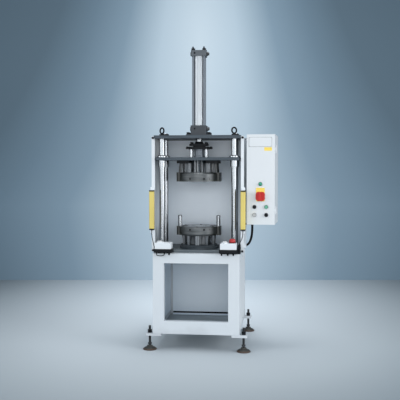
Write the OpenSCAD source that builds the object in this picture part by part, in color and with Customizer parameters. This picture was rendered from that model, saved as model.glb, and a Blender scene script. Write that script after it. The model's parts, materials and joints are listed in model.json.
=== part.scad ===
// Four-column hydraulic bench press on a welded base, with a two-part die set,
// light curtains, two-hand stations and a control box. Millimetres, +Z up.

/* [Base frame] */
// Width of the welded base
frame_w = 700; // [640:1:780]
// Depth of the welded base
frame_d = 850; // [800:1:950]
// Height of the base above its foot lugs
frame_h = 652; // [560:1:760]
// Width of the two front stiles
stile_w = 90; // [70:1:110]
// Depth of the front frame members
front_depth = 50; // [40:1:60]
// Height of the front top rail
rail_top_h = 79; // [60:1:100]
// Height of the front bottom rail
rail_bottom_h = 105; // [80:1:130]
// Width of the two rear posts
rear_post_w = 40; // [30:1:60]
// Depth of the rear posts and rails
rear_depth = 44; // [30:1:60]
// Height of the rear bottom rail
rear_rail_h = 48; // [40:1:60]
// Height of the front lip of the rear bottom rail
rear_lip_h = 14; // [10:1:20]
// Height of the rear top rail
rear_top_h = 45; // [30:1:70]
// Thickness of the box-folded side panels and their rails
side_t = 20; // [14:1:30]
// Height of the side rails
side_rail_h = 40; // [30:1:60]
// Thickness of the sheet panels
sheet_t = 3; // [2:0.5:5]
// Gap under the back panel
back_gap = 22; // [10:1:30]
// Height of the floor sheet above the frame's lower edge
floor_rise = 2; // [0:1:10]

/* [Levelling feet] */
// Thickness of the foot lugs
lug_t = 20; // [15:1:25]
// Length of a foot lug across the press
lug_l = 128; // [115:1:135]
// Width of a foot lug
lug_w = 70; // [50:1:90]
// How far a lug stands out beyond the frame's side
lug_out = 62; // [50:1:75]
// Distance of a stud from the lug's free end
stud_inset = 30; // [24:1:45]
// Diameter of the levelling studs
stud_d = 20; // [16:1:24]
// Length of the levelling studs
stud_h = 180; // [160:1:200]
// Diameter of the foot pads
pad_d = 112; // [90:1:130]
// Height of the foot pads
pad_h = 36; // [32:1:50]
// Height of the rim of the foot pads
pad_rim_h = 10; // [8:1:18]
// Depth of the stud's socket in a foot pad
pad_socket = 20; // [14:1:24]
// Clear height between the floor and the lugs
lug_z = 118; // [100:1:130]
// Width across the flats of the lock nuts
lock_af = 30; // [24:1:34]
// Height of one lock nut
lock_h = 13; // [8:1:16]

/* [Press frame] */
// Width of the base plate and the top plate
plate_w = 704; // [702:1:720]
// Distance of the plates' front edge behind the frame's front
plate_y0 = 66; // [64:1:90]
// Depth of the plates
plate_d = 449; // [430:1:480]
// Thickness of the base plate
base_plate_t = 25; // [20:1:40]
// Thickness of the top plate
top_plate_t = 25; // [20:1:40]
// Clear height between the plates
daylight = 901; // [880:1:960]
// Chamfer on the upright corners of the plates
plate_c = 6; // [2:0.5:12]
// Diameter of the guide columns
column_d = 45; // [40:1:50]
// Diameter of the stepped column ends
column_end_d = 36; // [30:1:38]
// Half the distance between left and right columns
column_x = 296; // [288:1:298]
// Distance of the ram axis behind the frame's front
ram_y = 232; // [225:1:250]
// Half the distance between front and rear columns
column_y = 90; // [80:1:110]
// Width across the flats of the column nuts
column_nut_af = 50; // [46:1:60]
// Height of the column nuts
column_nut_h = 22; // [16:1:28]
// Mean diameter of an eye bolt's ring
eye_d = 46; // [40:1:60]
// Thickness of an eye bolt's ring
eye_t = 13; // [10:1:15]
// Diameter of an eye bolt's collar
eye_collar_d = 44; // [40:1:50]
// Turn of the eye bolts about their shanks
eye_turn = 40; // [0:1:90]

/* [Guards] */
// Thickness of the folded guard sheets
guard_t = 3; // [2:0.5:4]
// Width of the guards' outward flanges
guard_flange = 26; // [16:1:30]
// Distance of the guards' front flange behind the frame's front
guard_y0 = 113; // [112:1:130]
// Distance of the top of the guards above the top plate's underside
guard_top = 19; // [10:1:24]
// Diameter of the clamping knobs on the guards
knob_d = 18; // [14:1:19]
// Length of the heads of the clamping knobs
knob_l = 16; // [10:1:22]
// Height of the lower knobs above the base plate's underside
knob_rise = 13; // [12:1:40]

/* [Light curtains] */
// Width of a light curtain
curtain_w = 40; // [32:1:44]
// Depth of a light curtain
curtain_d = 40; // [30:1:44]
// Length of a light curtain with its end caps
curtain_l = 324; // [300:1:420]
// Height of the light curtains above the base plate
curtain_rise = 157; // [120:1:200]
// Length of an end cap
curtain_cap = 11; // [8:1:16]
// Width of the window groove of a light curtain
window_w = 20; // [12:1:24]
// Depth of the window groove
window_deep = 2; // [1:0.5:4]
// Thickness of the brackets
bracket_t = 3; // [2:0.5:4]
// Height of a bracket beyond the end of its curtain
bracket_h = 26; // [18:1:40]

/* [Cylinder] */
// Bore of the cylinder
bore_d = 80; // [70:1:84]
// Outside diameter of the cylinder tube
tube_d = 100; // [92:1:102]
// Length of the tube between the caps
tube_l = 566; // [520:1:640]
// Width of the lower cap
cap_w = 128; // [124:1:140]
// Height of the lower cap
lower_cap_h = 85; // [78:1:100]
// Width of the upper cap
upper_cap_w = 122; // [118:1:140]
// Height of the upper cap
upper_cap_h = 46; // [40:1:60]
// Width of the mounting flange under the lower cap
flange_w = 206; // [196:1:240]
// Thickness of the mounting flange
flange_t = 12; // [10:1:20]
// Half the distance between the tie rods
tie_x = 45; // [44:0.5:46]
// Diameter of the tie rods
tie_d = 15; // [12:1:16]
// Width across the flats of the tie rod nuts
tie_nut_af = 24; // [20:1:27]
// Height of the tie rod nuts
tie_nut_h = 16; // [12:1:18]
// Length of a tie rod beyond its nut
tie_over = 14; // [6:1:20]
// Diameter of the piston rod
rod_d = 50; // [40:1:54]
// Height of the piston
piston_h = 60; // [40:1:80]
// Gap between the piston and the upper cap at rest
piston_gap = 7; // [4:1:20]
// Radius of the oil ports
port_r = 9; // [7:0.5:10]
// Length of a port fitting outside its cap
port_l = 22; // [16:1:30]
// Diameter of the flange bolts' heads
flange_bolt_d = 26; // [20:1:28]
// Height of the flange bolts' heads
flange_bolt_h = 18; // [12:1:22]

/* [Ram] */
// Distance of the platen below the top plate at rest
platen_drop = 152; // [148:1:200]
// Width of the platen
platen_w = 680; // [676:1:690]
// Depth of the platen
platen_d = 304; // [270:1:320]
// Thickness of the platen
platen_t = 25; // [20:1:40]
// Diameter of the boss under the platen
boss_d = 120; // [90:1:140]
// Diameter of the guide bushes' flanges
bush_flange_d = 80; // [74:1:86]
// Thickness of the guide bushes' flanges
bush_flange_t = 12; // [8:1:16]
// Diameter of the guide bushes' sleeves
bush_d = 60; // [54:1:64]
// Length of the sleeves under the platen
bush_drop = 52; // [40:1:80]
// Height of the stand-off pillars
pillar_h = 67; // [50:1:80]
// Diameter of the stand-off pillars
pillar_d = 20; // [14:1:24]
// Half the distance between left and right pillars
pillar_x = 62; // [58:1:70]
// Half the distance between front and rear pillars
pillar_y = 34; // [26:1:36]
// Diameter of the adapter block between the pillars
adapter_d = 84; // [60:1:88]
// Width of the lower coupling plate
coupling_w = 170; // [160:1:190]
// Reach of the lower coupling plate's ears from the axis
ear_x = 112; // [104:1:125]
// Diameter of the ears' round ends
ear_d = 26; // [20:1:32]
// Thickness of the lower coupling plate
coupling_t = 21; // [16:1:26]
// Gap between the two coupling plates
coupling_gap = 8; // [5:1:12]
// Width of the upper coupling plate
upper_coupling_w = 156; // [140:1:170]
// Depth of the two coupling plates
coupling_d = 104; // [96:1:120]
// Thickness of the upper coupling plate
upper_coupling_t = 16; // [12:1:20]
// Height of the coupling's collar above its plates
collar_h = 20; // [14:1:26]

/* [Die set] */
// Diameter of the die rings
die_d = 330; // [320:1:340]
// Width over the ears of the die rings
die_w = 364; // [358:1:370]
// Depth of the ears of the die rings
die_ear_d = 110; // [90:1:130]
// Height of the upper die ring
upper_ring_h = 74; // [60:1:80]
// Height of the lower die ring
lower_ring_h = 72; // [60:1:80]
// Chamfer on the die rings
die_c = 12; // [6:1:16]
// Height of the strips under the platen
strip_h = 23; // [18:1:30]
// Height of the posts of the upper die
upper_post_h = 75; // [60:1:80]
// Height of the lower die shoe
shoe_h = 35; // [25:1:45]
// Diameter of the lower die shoe
shoe_d = 324; // [310:1:326]
// Height of the posts of the lower die
lower_post_h = 76; // [60:1:80]
// Diameter of the guide pins
pin_d = 34; // [24:1:36]
// Half the distance between the guide pins
pin_x = 160; // [154:1:162]
// Height of the guide pins above the lower ring
pin_h = 90; // [80:1:96]
// Radius of the handling holes in the rings
handling_r = 8; // [6:0.5:10]
// Half the distance between the handling holes
handling_x = 57; // [50:1:70]

/* [Two-hand stations] */
// Distance of a station from the press axis
station_x = 262; // [255:1:264]
// Width of a station's base
station_w = 146; // [138:1:148]
// Depth of a station's base
station_d = 105; // [95:1:106]
// How far a station stands out in front of the frame
station_out = 45; // [35:1:50]
// Height of the rails under a station
station_rail_h = 10; // [6:1:14]
// Height of a station's base
station_base_h = 29; // [20:1:36]
// Width of a station's housing
housing_w = 130; // [118:1:134]
// Height of a station's housing
housing_h = 50; // [40:1:60]
// Diameter of the palm buttons
palm_d = 40; // [32:1:44]
// Height of the palm buttons' heads
palm_h = 8; // [6:1:14]
// Diameter of the emergency stop's mushroom head
stop_d = 50; // [40:1:54]
// Height of the emergency stop's head
stop_h = 28; // [22:1:34]
// Distance of the station's buttons from its middle
palm_x = 30; // [28:1:32]
// Travel left under a pressed button
button_travel = 4; // [3:0.5:6]

/* [Control box] */
// Distance of the box's left front edge from the press axis
box_x0 = 399; // [394:1:420]
// Distance of the box's left front edge behind the frame's front
box_y0 = 120; // [114:1:140]
// Height of the underside of the box
box_z0 = 1020; // [990:1:1040]
// Width of the box
box_w = 227; // [215:1:260]
// Depth of the box with its door
box_d = 400; // [390:1:460]
// Height of the box
box_h = 727; // [715:1:760]
// Turn of the box towards the operator in degrees
box_turn = 3; // [0:0.5:5]
// Wall of the box
box_t = 2; // [1.5:0.5:3]
// Depth of the door pan
door_d = 20; // [16:1:26]
// Gap between the door and the box
door_gap = 1.5; // [1:0.5:3]
// Distance of the middle of the controls from the box's left edge
panel_x = 111; // [108:1:113]
// Half the distance between the two rows of buttons
button_x = 47.5; // [44:0.5:60]
// Height of the lower buttons above the box's underside
button_z = 78; // [60:1:90]
// Height between the two rows of buttons
button_pitch = 65; // [50:1:70]
// Height of the main switch above the box's underside
switch_z = 228; // [220:1:260]
// Height of the lamp above the box's underside
lamp_z = 328; // [320:1:380]
// Diameter of the button heads
button_d = 29; // [24:1:30]
// Width of the main switch handle
handle_w = 74; // [60:1:76]
// Width of the switch plate
switch_plate_w = 70; // [56:1:80]
// Height of the switch plate
switch_plate_h = 110; // [90:1:120]
// Radius of the hinge barrels
hinge_r = 5; // [4:0.5:6]

/* [Cables] */
// Diameter of the sensor cables
cable_d = 6; // [5:0.5:7]
// Diameter of the hose of the control box
hose_d = 20; // [16:1:22]

/* [Hidden] */

$fn = 64;
// Overlap of a cut beyond the faces that it goes through
cut = 1;
// Radial clearance of a running fit
run = 0.05;
// Radial clearance of a fixed fit
fixed = 0.05;
// Radial clearance of a plain hole
clear = 0.5;

// Chamfers of the prismatic parts
lug_c = 5;
cap_c = 5;
flange_c = 8;
curtain_c = 4;
coupling_c = 14;
upper_coupling_c = 20;
die_ear_c = 10;
stop_c = 4;
station_c = 6;
block_c = 3;
switch_plate_c = 5;

white_paint = [0.82, 0.85, 0.88];
grey_steel = [0.38, 0.42, 0.46];
dark_steel = [0.24, 0.25, 0.27];
chrome_steel = [0.80, 0.82, 0.85];
black_plastic = [0.07, 0.08, 0.09];
pale_plastic = [0.80, 0.82, 0.83];
red_plastic = [0.78, 0.12, 0.15];

// Heights, from the floor up
frame_bottom = lug_z + lug_t;
frame_top = frame_bottom + frame_h;
bed_z = frame_top + base_plate_t;
head_z = bed_z + daylight;
head_top = head_z + top_plate_t;
lower_cap_top = head_top + lower_cap_h;
tube_top = lower_cap_top + tube_l;
upper_cap_top = tube_top + upper_cap_h;
platen_top = head_z - platen_drop;
platen_z = platen_top - platen_t;
coupling_z = platen_top + pillar_h;
coupling_top = coupling_z + coupling_t;
upper_coupling_z = coupling_top + coupling_gap;
upper_coupling_top = upper_coupling_z + upper_coupling_t;
collar_top = upper_coupling_top + collar_h;
piston_top = tube_top - piston_gap;
piston_z = piston_top - piston_h;
strip_z = platen_z - strip_h;
upper_ring_top = strip_z - upper_post_h;
upper_ring_z = upper_ring_top - upper_ring_h;
shoe_top = bed_z + shoe_h;
lower_ring_z = shoe_top + lower_post_h;
lower_ring_top = lower_ring_z + lower_ring_h;
station_z = frame_top + station_rail_h;
housing_z = station_z + station_base_h;
housing_top = housing_z + housing_h;
curtain_z = bed_z + curtain_rise;
curtain_top = curtain_z + curtain_l;
guard_z = frame_top;
guard_end = head_z + guard_top;

// Plan positions
half_w = frame_w / 2;
plate_x = plate_w / 2;
plate_end = plate_y0 + plate_d;
guard_x = plate_x + guard_t;
flange_x = plate_x + guard_flange;
guard_gap = 2;
guard_y1 = plate_end + guard_t + guard_gap;
curtain_x = plate_x + curtain_w / 2;
curtain_back = guard_y0 - bracket_t;
curtain_y = curtain_back - curtain_d / 2;
stud_x = half_w + lug_out - stud_inset;
stud_front = 40;
stud_rear = frame_d - lug_w / 2;
stud_z = pad_h - pad_socket;
column_front = ram_y - column_y;
column_rear = ram_y + column_y;
station_y0 = -station_out;
station_y = station_y0 + station_d / 2;
bay_x = half_w - side_t;
rear_y = frame_d - rear_depth;
block_gap = 2;
block_w = 20;
block_d = 48;
block_h = 68;
block_x = station_x + station_w / 2 + block_gap;
block_y = 12;

// Box frame: hinge axis and the point of the box in plan
hinge_gap = 0.5;
hinge_x = box_w + hinge_r + hinge_gap;
hinge_y = door_d + door_gap / 2;
body_y = door_d + door_gap;
box_top = box_z0 + box_h;
function box_point(x, y) = [
    box_x0 + x * cos(box_turn) + y * sin(box_turn),
    box_y0 - x * sin(box_turn) + y * cos(box_turn)
];

// The origin lies on the floor, under the middle of the whole press
x_low = -(stud_x + pad_d / 2);
x_high = box_point(box_w, box_d)[0];
y_low = station_y0;
y_high = stud_rear + pad_d / 2;
shift = [-(x_low + x_high) / 2, -(y_low + y_high) / 2, 0];

// Points between two ends; a shape gives the share of the way along each axis
function between(a, b, shape) = [for (f = shape) [for (i = [0 : 2]) a[i] + (b[i] - a[i]) * f[i]]];

// Cable routes, from the upper end down; both ends run straight into their glands
gland_y = -22;
cable_setback = 12;
frame_gland = [7, 54, 8];
left_cable = between(
    [-curtain_x, curtain_y - cable_setback, curtain_z],
    [-half_w + frame_gland[0], frame_gland[1], frame_top + frame_gland[2]], [
        [0, 0, 0], [0, 0, 0.08], [0, 0, 0.16], [0.11, 0.04, 0.33], [0.37, 0.21, 0.53], [0.67, 0.58, 0.70],
        [0.93, 0.92, 0.84], [1, 1, 0.92], [1, 1, 0.96], [1, 1, 1]
    ]
);
right_cable = between(
    [curtain_x, curtain_y - cable_setback, curtain_z],
    [block_x + block_w / 2, block_y + block_d * 0.54, frame_top + block_h], [
        [0, 0, 0], [0, 0, 0.10], [0, 0, 0.19], [0.13, 0.10, 0.41], [0.43, 0.40, 0.63], [0.83, 0.80, 0.79],
        [1, 1, 0.88], [1, 1, 0.94], [1, 1, 1]
    ]
);
loop_gland_h = 11;
loop_drop = 16;
loop_x = [-54, 10];
loop_top = station_z - loop_gland_h;
loop_cable = between(
    [-station_x + loop_x[0], gland_y, loop_top], [-station_x + loop_x[1], gland_y, loop_top - loop_drop], [
        [0, 0, 0], [0, 0, 0.15], [0, 0, 0.30], [0.08, 0, 0.72], [0.28, 0, 0.93], [0.5, 0, 1],
        [0.72, 0, 0.93], [0.92, 0, 0.72], [1, 0, 0.30], [1, 0, 0.15], [1, 0, 0]
    ]
);
hose_from = [33, 310, 12];
hose_to = [2, 47, 16];
hose_route = between(
    [box_x0 + hose_from[0], box_y0 + hose_from[1], box_z0 - hose_from[2]],
    [half_w - hose_to[0], plate_end + hose_to[1], frame_top + hose_to[2]], [
        [0, 0, 0], [0, 0, 0.08], [0, 0, 0.17], [0.02, 0.04, 0.36], [0.08, 0.15, 0.56], [0.19, 0.35, 0.72],
        [0.33, 0.59, 0.85], [0.50, 0.80, 0.94], [0.67, 0.95, 0.99], [0.80, 1, 1], [0.90, 1, 1], [1, 1, 1]
    ]
);

// Solid between two opposite corners
module block(low, high) {
    translate(low) cube(high - low);
}

// Everything is placed in the press frame first and then shifted to the origin
module placed() {
    translate(shift) children();
}

// The frame of the control box: x along its front, y into its depth
module in_box() {
    placed() translate([box_x0, box_y0, box_z0]) rotate([0, 0, -box_turn]) children();
}

// The same shape on the left and the right of the press
module both_sides() {
    children();
    mirror([1, 0, 0]) children();
}

// The same shape at the four columns
module at_columns(rows = [column_front, column_rear]) {
    for (x = [-column_x, column_x], y = rows) translate([x, y, 0]) children();
}

// The same shape at the four feet
module at_feet() {
    for (x = [-stud_x, stud_x], y = [stud_front, stud_rear]) translate([x, y, 0]) children();
}

// The same shape at the four tie rods
module at_tie_rods() {
    for (x = [-tie_x, tie_x], y = [-tie_x, tie_x]) translate([x, ram_y + y, 0]) children();
}

// Upright prism with chamfered corners, centred in plan
module chamfered(w, d, h, c) {
    linear_extrude(h) polygon([
        [-w / 2 + c, -d / 2], [w / 2 - c, -d / 2], [w / 2, -d / 2 + c], [w / 2, d / 2 - c],
        [w / 2 - c, d / 2], [-w / 2 + c, d / 2], [-w / 2, d / 2 - c], [-w / 2, -d / 2 + c]
    ]);
}

// Hexagonal nut with a plain hole
module nut(af, h, hole_d) {
    difference() {
        cylinder(d = af / cos(30), h = h, $fn = 6);
        translate([0, 0, -cut]) cylinder(d = hole_d + 2 * fixed, h = h + 2 * cut);
    }
}

// Point on a smooth curve through four neighbouring points
function curve_point(a, b, c, d, t) =
    0.5 * (2 * b + (c - a) * t + (2 * a - 5 * b + 4 * c - d) * t * t + (3 * b - a - 3 * c + d) * t * t * t);

// Smooth route through a list of points, with a number of steps for each stretch
function smooth_route(p, steps) = [
    for (i = [0 : len(p) - 2], j = [0 : steps - 1])
        curve_point(p[max(i - 1, 0)], p[i], p[i + 1], p[min(i + 2, len(p) - 1)], j / steps),
    p[len(p) - 1]
];

function unit(v) = v / norm(v);

function direction(p, i) = unit(p[min(i + 1, len(p) - 1)] - p[max(i - 1, 0)]);

// Round cord swept along a route; side is a vector that the route never follows
module cord(route, d, side, sides = 8) {
    n = len(route);
    points = [
        for (i = [0 : n - 1])
            let (t = direction(route, i), u = unit(cross(t, side)), v = cross(t, u))
            for (k = [0 : sides - 1])
                route[i] + d / 2 * (u * cos(360 * k / sides) + v * sin(360 * k / sides))
    ];
    faces = [
        [for (k = [0 : sides - 1]) k],
        for (i = [0 : n - 2], k = [0 : sides - 1])
            let (a = i * sides + k, b = i * sides + (k + 1) % sides)
            each [[a, a + sides, b + sides], [a, b + sides, b]],
        [for (k = [sides - 1 : -1 : 0]) (n - 1) * sides + k]
    ];
    polyhedron(points, faces);
}

// Welded base: front frame with the bay, rear frame, side rails and foot lugs
module base_frame() {
    rail_y = front_depth;
    bay_z0 = frame_bottom + rail_bottom_h;
    bay_z1 = frame_top - rail_top_h;
    wall_t = 6;
    color(white_paint) placed() difference() {
        union() {
            difference() {
                block([-half_w, 0, frame_bottom], [half_w, front_depth, frame_top]);
                block([-half_w + stile_w, -cut, bay_z0], [half_w - stile_w, front_depth + cut, bay_z1]);
            }
            block([-half_w, rear_y, frame_bottom], [half_w, frame_d, frame_bottom + rear_lip_h]);
            block([-half_w, frame_d - wall_t, frame_bottom], [half_w, frame_d, frame_bottom + rear_rail_h]);
            block([-half_w, rear_y, frame_top - rear_top_h], [half_w, frame_d, frame_top]);
            both_sides() {
                block([half_w - rear_post_w, rear_y, frame_bottom], [half_w, frame_d, frame_top]);
                block([bay_x, rail_y, frame_bottom], [half_w, rear_y, frame_bottom + side_rail_h]);
                block([bay_x, rail_y, frame_top - side_rail_h], [half_w, rear_y, frame_top]);
                for (y = [stud_front, stud_rear])
                    translate([half_w + lug_out - lug_l / 2, y, lug_z]) chamfered(lug_l, lug_w, lug_t, lug_c);
            }
        }
        at_feet() translate([0, 0, lug_z - cut]) cylinder(d = stud_d + 2 * fixed, h = lug_t + 2 * cut);
    }
}

// Side panels, back panel and floor sheet of the base
module base_panels() {
    floor_z = frame_bottom + floor_rise;
    back_z = frame_bottom + rear_lip_h + back_gap;
    back_x = half_w - rear_post_w;
    hem = 12;
    color(white_paint) placed() {
        both_sides() block(
            [bay_x, front_depth, frame_bottom + side_rail_h],
            [half_w, rear_y, frame_top - side_rail_h]
        );
        difference() {
            block([-back_x, rear_y, back_z], [back_x, rear_y + hem, frame_top - rear_top_h]);
            block(
                [-back_x + sheet_t, rear_y + sheet_t, back_z + sheet_t],
                [back_x - sheet_t, rear_y + hem + cut, frame_top - rear_top_h - sheet_t]
            );
        }
        block([-bay_x, front_depth, floor_z], [bay_x, rear_y, floor_z + sheet_t]);
    }
}

// Sheet that closes the top of the base, with clearance for the column nuts
module base_deck() {
    nut_room = 6;
    nut_hole_d = column_nut_af / cos(30) + nut_room;
    color(white_paint) placed() difference() {
        block([-bay_x, front_depth, frame_top - sheet_t], [bay_x, rear_y, frame_top]);
        at_columns() translate([0, 0, frame_top - sheet_t - cut])
            cylinder(d = nut_hole_d, h = sheet_t + 2 * cut);
    }
}

// Levelling studs with spanner flats just above the pads
module foot_studs() {
    flats_gap = 8;
    flats_h = 14;
    flats_z = pad_h + flats_gap;
    color(chrome_steel) placed() at_feet() {
        translate([0, 0, stud_z]) cylinder(d = stud_d, h = stud_h);
        translate([0, 0, flats_z]) cylinder(d = lock_af / cos(30), h = flats_h, $fn = 6);
    }
}

// Moulded foot pads with a low dome and a socket for the stud
module foot_pads() {
    wall = 13;
    edge = 3;
    neck_r = stud_d / 2 + wall;
    r = pad_d / 2;
    dome = pad_h - pad_rim_h;
    color(dark_steel) placed() at_feet() difference() {
        rotate_extrude() polygon([
            [0, 0], [r - edge, 0], [r, edge], [r, pad_rim_h - edge], [r - edge, pad_rim_h],
            [r - 2 * edge, pad_rim_h], [r * 0.78, pad_rim_h + dome * 0.30],
            [r * 0.58, pad_rim_h + dome * 0.50], [neck_r, pad_rim_h + dome * 0.66],
            [neck_r, pad_h - edge], [neck_r - edge, pad_h], [0, pad_h]
        ]);
        translate([0, 0, stud_z]) cylinder(d = stud_d + 2 * fixed, h = pad_socket + cut);
    }
}

// Plate with chamfered corners and the four column holes, in its own thickness
module column_plate(t) {
    difference() {
        translate([0, plate_y0 + plate_d / 2, 0]) chamfered(plate_w, plate_d, t, plate_c);
        at_columns() translate([0, 0, -cut]) cylinder(d = column_end_d + 2 * fixed, h = t + 2 * cut);
    }
}

module base_plate() {
    color(grey_steel) placed() translate([0, 0, frame_top]) column_plate(base_plate_t);
}

// Top plate with the rod's hole and the tapped holes of the cylinder flange
module top_plate() {
    color(grey_steel) placed() translate([0, 0, head_z]) difference() {
        column_plate(top_plate_t);
        translate([0, ram_y, -cut]) cylinder(d = gland_d, h = top_plate_t + 2 * cut);
        at_flange_bolts() translate([0, 0, -cut])
            cylinder(d = flange_shank_d + 2 * fixed, h = top_plate_t + 2 * cut);
    }
}

// Guide columns with stepped ends; the front ends stop level with the top plate
module guide_columns() {
    over = 5;
    color(chrome_steel) placed() {
        at_columns() {
            translate([0, 0, bed_z]) cylinder(d = column_d, h = daylight);
            translate([0, 0, frame_top - column_nut_h - over])
                cylinder(d = column_end_d, h = base_plate_t + column_nut_h + over + cut);
            translate([0, 0, head_z - cut]) cylinder(d = column_end_d, h = top_plate_t + cut);
        }
        at_columns([column_rear]) translate([0, 0, head_top - cut])
            cylinder(d = column_end_d, h = column_nut_h + over + cut);
    }
}

flange_shank_d = 14;
flange_margin = 4;
flange_bolt_x = flange_w / 2 - flange_bolt_d / 2 - flange_margin;
flange_bolt_y = cap_w / 2 - flange_bolt_d / 2 - flange_margin;

// The same shape at the four bolts of the cylinder flange
module at_flange_bolts() {
    for (x = [-flange_bolt_x, flange_bolt_x], y = [-flange_bolt_y, flange_bolt_y])
        translate([x, ram_y + y, 0]) children();
}

// Column nuts, tie rod nuts, flange bolts and the lock nuts of the feet
module frame_fasteners() {
    lock_gap = 0.5;
    key_d = flange_bolt_d * 0.54;
    color(dark_steel) placed() {
        at_columns() translate([0, 0, frame_top - column_nut_h])
            nut(column_nut_af, column_nut_h, column_end_d);
        at_columns([column_rear]) translate([0, 0, head_top]) nut(column_nut_af, column_nut_h, column_end_d);
        at_tie_rods() translate([0, 0, upper_cap_top]) nut(tie_nut_af, tie_nut_h, tie_d);
        at_flange_bolts() {
            translate([0, 0, head_top + flange_t]) difference() {
                cylinder(d = flange_bolt_d, h = flange_bolt_h);
                translate([0, 0, flange_bolt_h / 2]) cylinder(d = key_d, h = flange_bolt_h, $fn = 6);
            }
            translate([0, 0, head_z]) cylinder(d = flange_shank_d, h = top_plate_t + flange_t + cut);
        }
        at_feet() for (i = [0, 1])
            translate([0, 0, frame_bottom + i * (lock_h + lock_gap)]) nut(lock_af, lock_h, stud_d);
    }
}

// Lifting eyes on the front columns: collar, neck and ring
module eye_bolts() {
    collar_t = 12;
    neck_h = 8;
    neck_d = [26, 18];
    sink = 4;
    ring_z = head_top + collar_t + neck_h + (eye_d - eye_t) / 2 + sink;
    neck_l = ring_z - eye_d / 2 - head_top - collar_t + sink / 2;
    color(dark_steel) placed() for (s = [-1, 1]) translate([s * column_x, column_front, 0]) {
        translate([0, 0, head_top]) cylinder(d = eye_collar_d, h = collar_t);
        translate([0, 0, head_top + collar_t - cut])
            cylinder(d1 = neck_d[0], d2 = neck_d[1], h = neck_l + cut);
        translate([0, 0, ring_z]) rotate([0, 0, s * eye_turn]) rotate([90, 0, 0])
            rotate_extrude() translate([eye_d / 2, 0]) circle(d = eye_t);
    }
}

// Folded side guard of the right side: web on the plate edges, two outward flanges
module guard_shape() {
    difference() {
        block([plate_x, guard_y0, guard_z], [flange_x, guard_y1, guard_end]);
        block(
            [guard_x, guard_y0 + guard_t, guard_z - cut],
            [flange_x + cut, guard_y1 - guard_t, guard_end + cut]
        );
        at_guard_knobs() translate([0, -cut, 0]) rotate([-90, 0, 0])
            cylinder(d = knob_shank_d + 2 * fixed, h = guard_t + 2 * cut);
    }
}

knob_shank_d = 8;
knob_x = guard_x + (flange_x - guard_x) / 2;

// The same shape at the two knobs of the right guard, on the flange's front face
module at_guard_knobs() {
    for (z = [guard_z + knob_rise, guard_end - knob_rise]) translate([knob_x, guard_y0, z]) children();
}

module guard_left() {
    color(white_paint) placed() mirror([1, 0, 0]) guard_shape();
}

module guard_right() {
    color(white_paint) placed() guard_shape();
}

// Back guard sheet with folded hems at its top and bottom
module back_guard() {
    hem = 14;
    color([0.66, 0.70, 0.75]) placed() difference() {
        block([-flange_x, guard_y1, guard_z], [flange_x, guard_y1 + hem, guard_end]);
        block(
            [-flange_x - cut, guard_y1 + guard_t, guard_z + guard_t],
            [flange_x + cut, guard_y1 + hem + cut, guard_end - guard_t]
        );
    }
}

// Turned knobs that clamp the guards
module guard_knobs() {
    r = knob_d / 2;
    step = 4;
    edge = 1.5;
    tail = guard_t + 6;
    color(black_plastic) placed() both_sides() at_guard_knobs() rotate([90, 0, 0]) {
        rotate_extrude() polygon([
            [0, 0], [r - step, 0], [r - step, step], [r - edge, step], [r, step + edge],
            [r, knob_l - edge], [r - edge, knob_l], [0, knob_l]
        ]);
        translate([0, 0, -tail]) cylinder(d = knob_shank_d, h = tail + cut);
    }
}

// Light curtain profiles with a window groove on the side towards the other curtain
module curtain_housings() {
    color([0.85, 0.76, 0.30]) placed() both_sides() translate([curtain_x, curtain_y, curtain_z + curtain_cap])
        difference() {
            chamfered(curtain_w, curtain_d, curtain_l - 2 * curtain_cap, curtain_c);
            block(
                [-curtain_w / 2 - cut, -window_w / 2, -cut],
                [-curtain_w / 2 + window_deep, window_w / 2, curtain_l]
            );
        }
}

module curtain_end_caps() {
    color(black_plastic) placed() both_sides() for (z = [curtain_z, curtain_top - curtain_cap])
        translate([curtain_x, curtain_y, z]) chamfered(curtain_w, curtain_d, curtain_cap, curtain_c);
}

// Folded brackets that carry each curtain by both ends on the guard flange
module curtain_brackets() {
    foot_l = 24;
    bracket_w = curtain_w - 2 * curtain_c;
    screw_af = 11;
    screw_h = 6;
    color(white_paint) placed() both_sides() for (end = [0, 1])
        translate([curtain_x, 0, end == 1 ? curtain_top : curtain_z]) mirror([0, 0, 1 - end]) {
            block([-bracket_w / 2, curtain_back - foot_l, 0], [bracket_w / 2, curtain_back, bracket_t]);
            block([-bracket_w / 2, curtain_back, 0], [bracket_w / 2, guard_y0, bracket_h]);
            translate([0, curtain_back - foot_l / 2, bracket_t])
                cylinder(d = screw_af / cos(30), h = screw_h, $fn = 6);
        }
}

// Sensor cables of the light curtains and the loop under the left station
module sensor_cables() {
    color(black_plastic) placed() {
        cord(smooth_route(left_cable, 3), cable_d, [1, 0, 0]);
        cord(smooth_route(right_cable, 3), cable_d, [1, 0, 0]);
        cord(smooth_route(loop_cable, 3), cable_d, [0, 1, 0]);
    }
}

port_z = [lower_cap_top - lower_cap_h * 0.3, tube_top + upper_cap_h / 2];
port_wall = 4;
port_seat = 14;

// Lower cap with its mounting flange, gland bore and ports
module cylinder_lower_cap() {
    color(grey_steel) placed() difference() {
        union() {
            translate([0, ram_y, head_top]) chamfered(cap_w, cap_w, lower_cap_h, cap_c);
            translate([0, ram_y, head_top]) chamfered(flange_w, cap_w, flange_t, flange_c);
        }
        translate([0, ram_y, head_top - cut]) cylinder(d = gland_d + 2 * fixed, h = lower_cap_h + 2 * cut);
        at_tie_rods() translate([0, 0, lower_cap_top - tie_seat])
            cylinder(d = tie_d + 2 * fixed, h = tie_seat + cut);
        at_flange_bolts() translate([0, 0, head_top - cut])
            cylinder(d = flange_shank_d + 2 * fixed, h = flange_t + 2 * cut);
        port_bores(cap_w, port_z[0]);
    }
}

gland_d = rod_d * 1.4;
tie_seat = 30;

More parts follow.
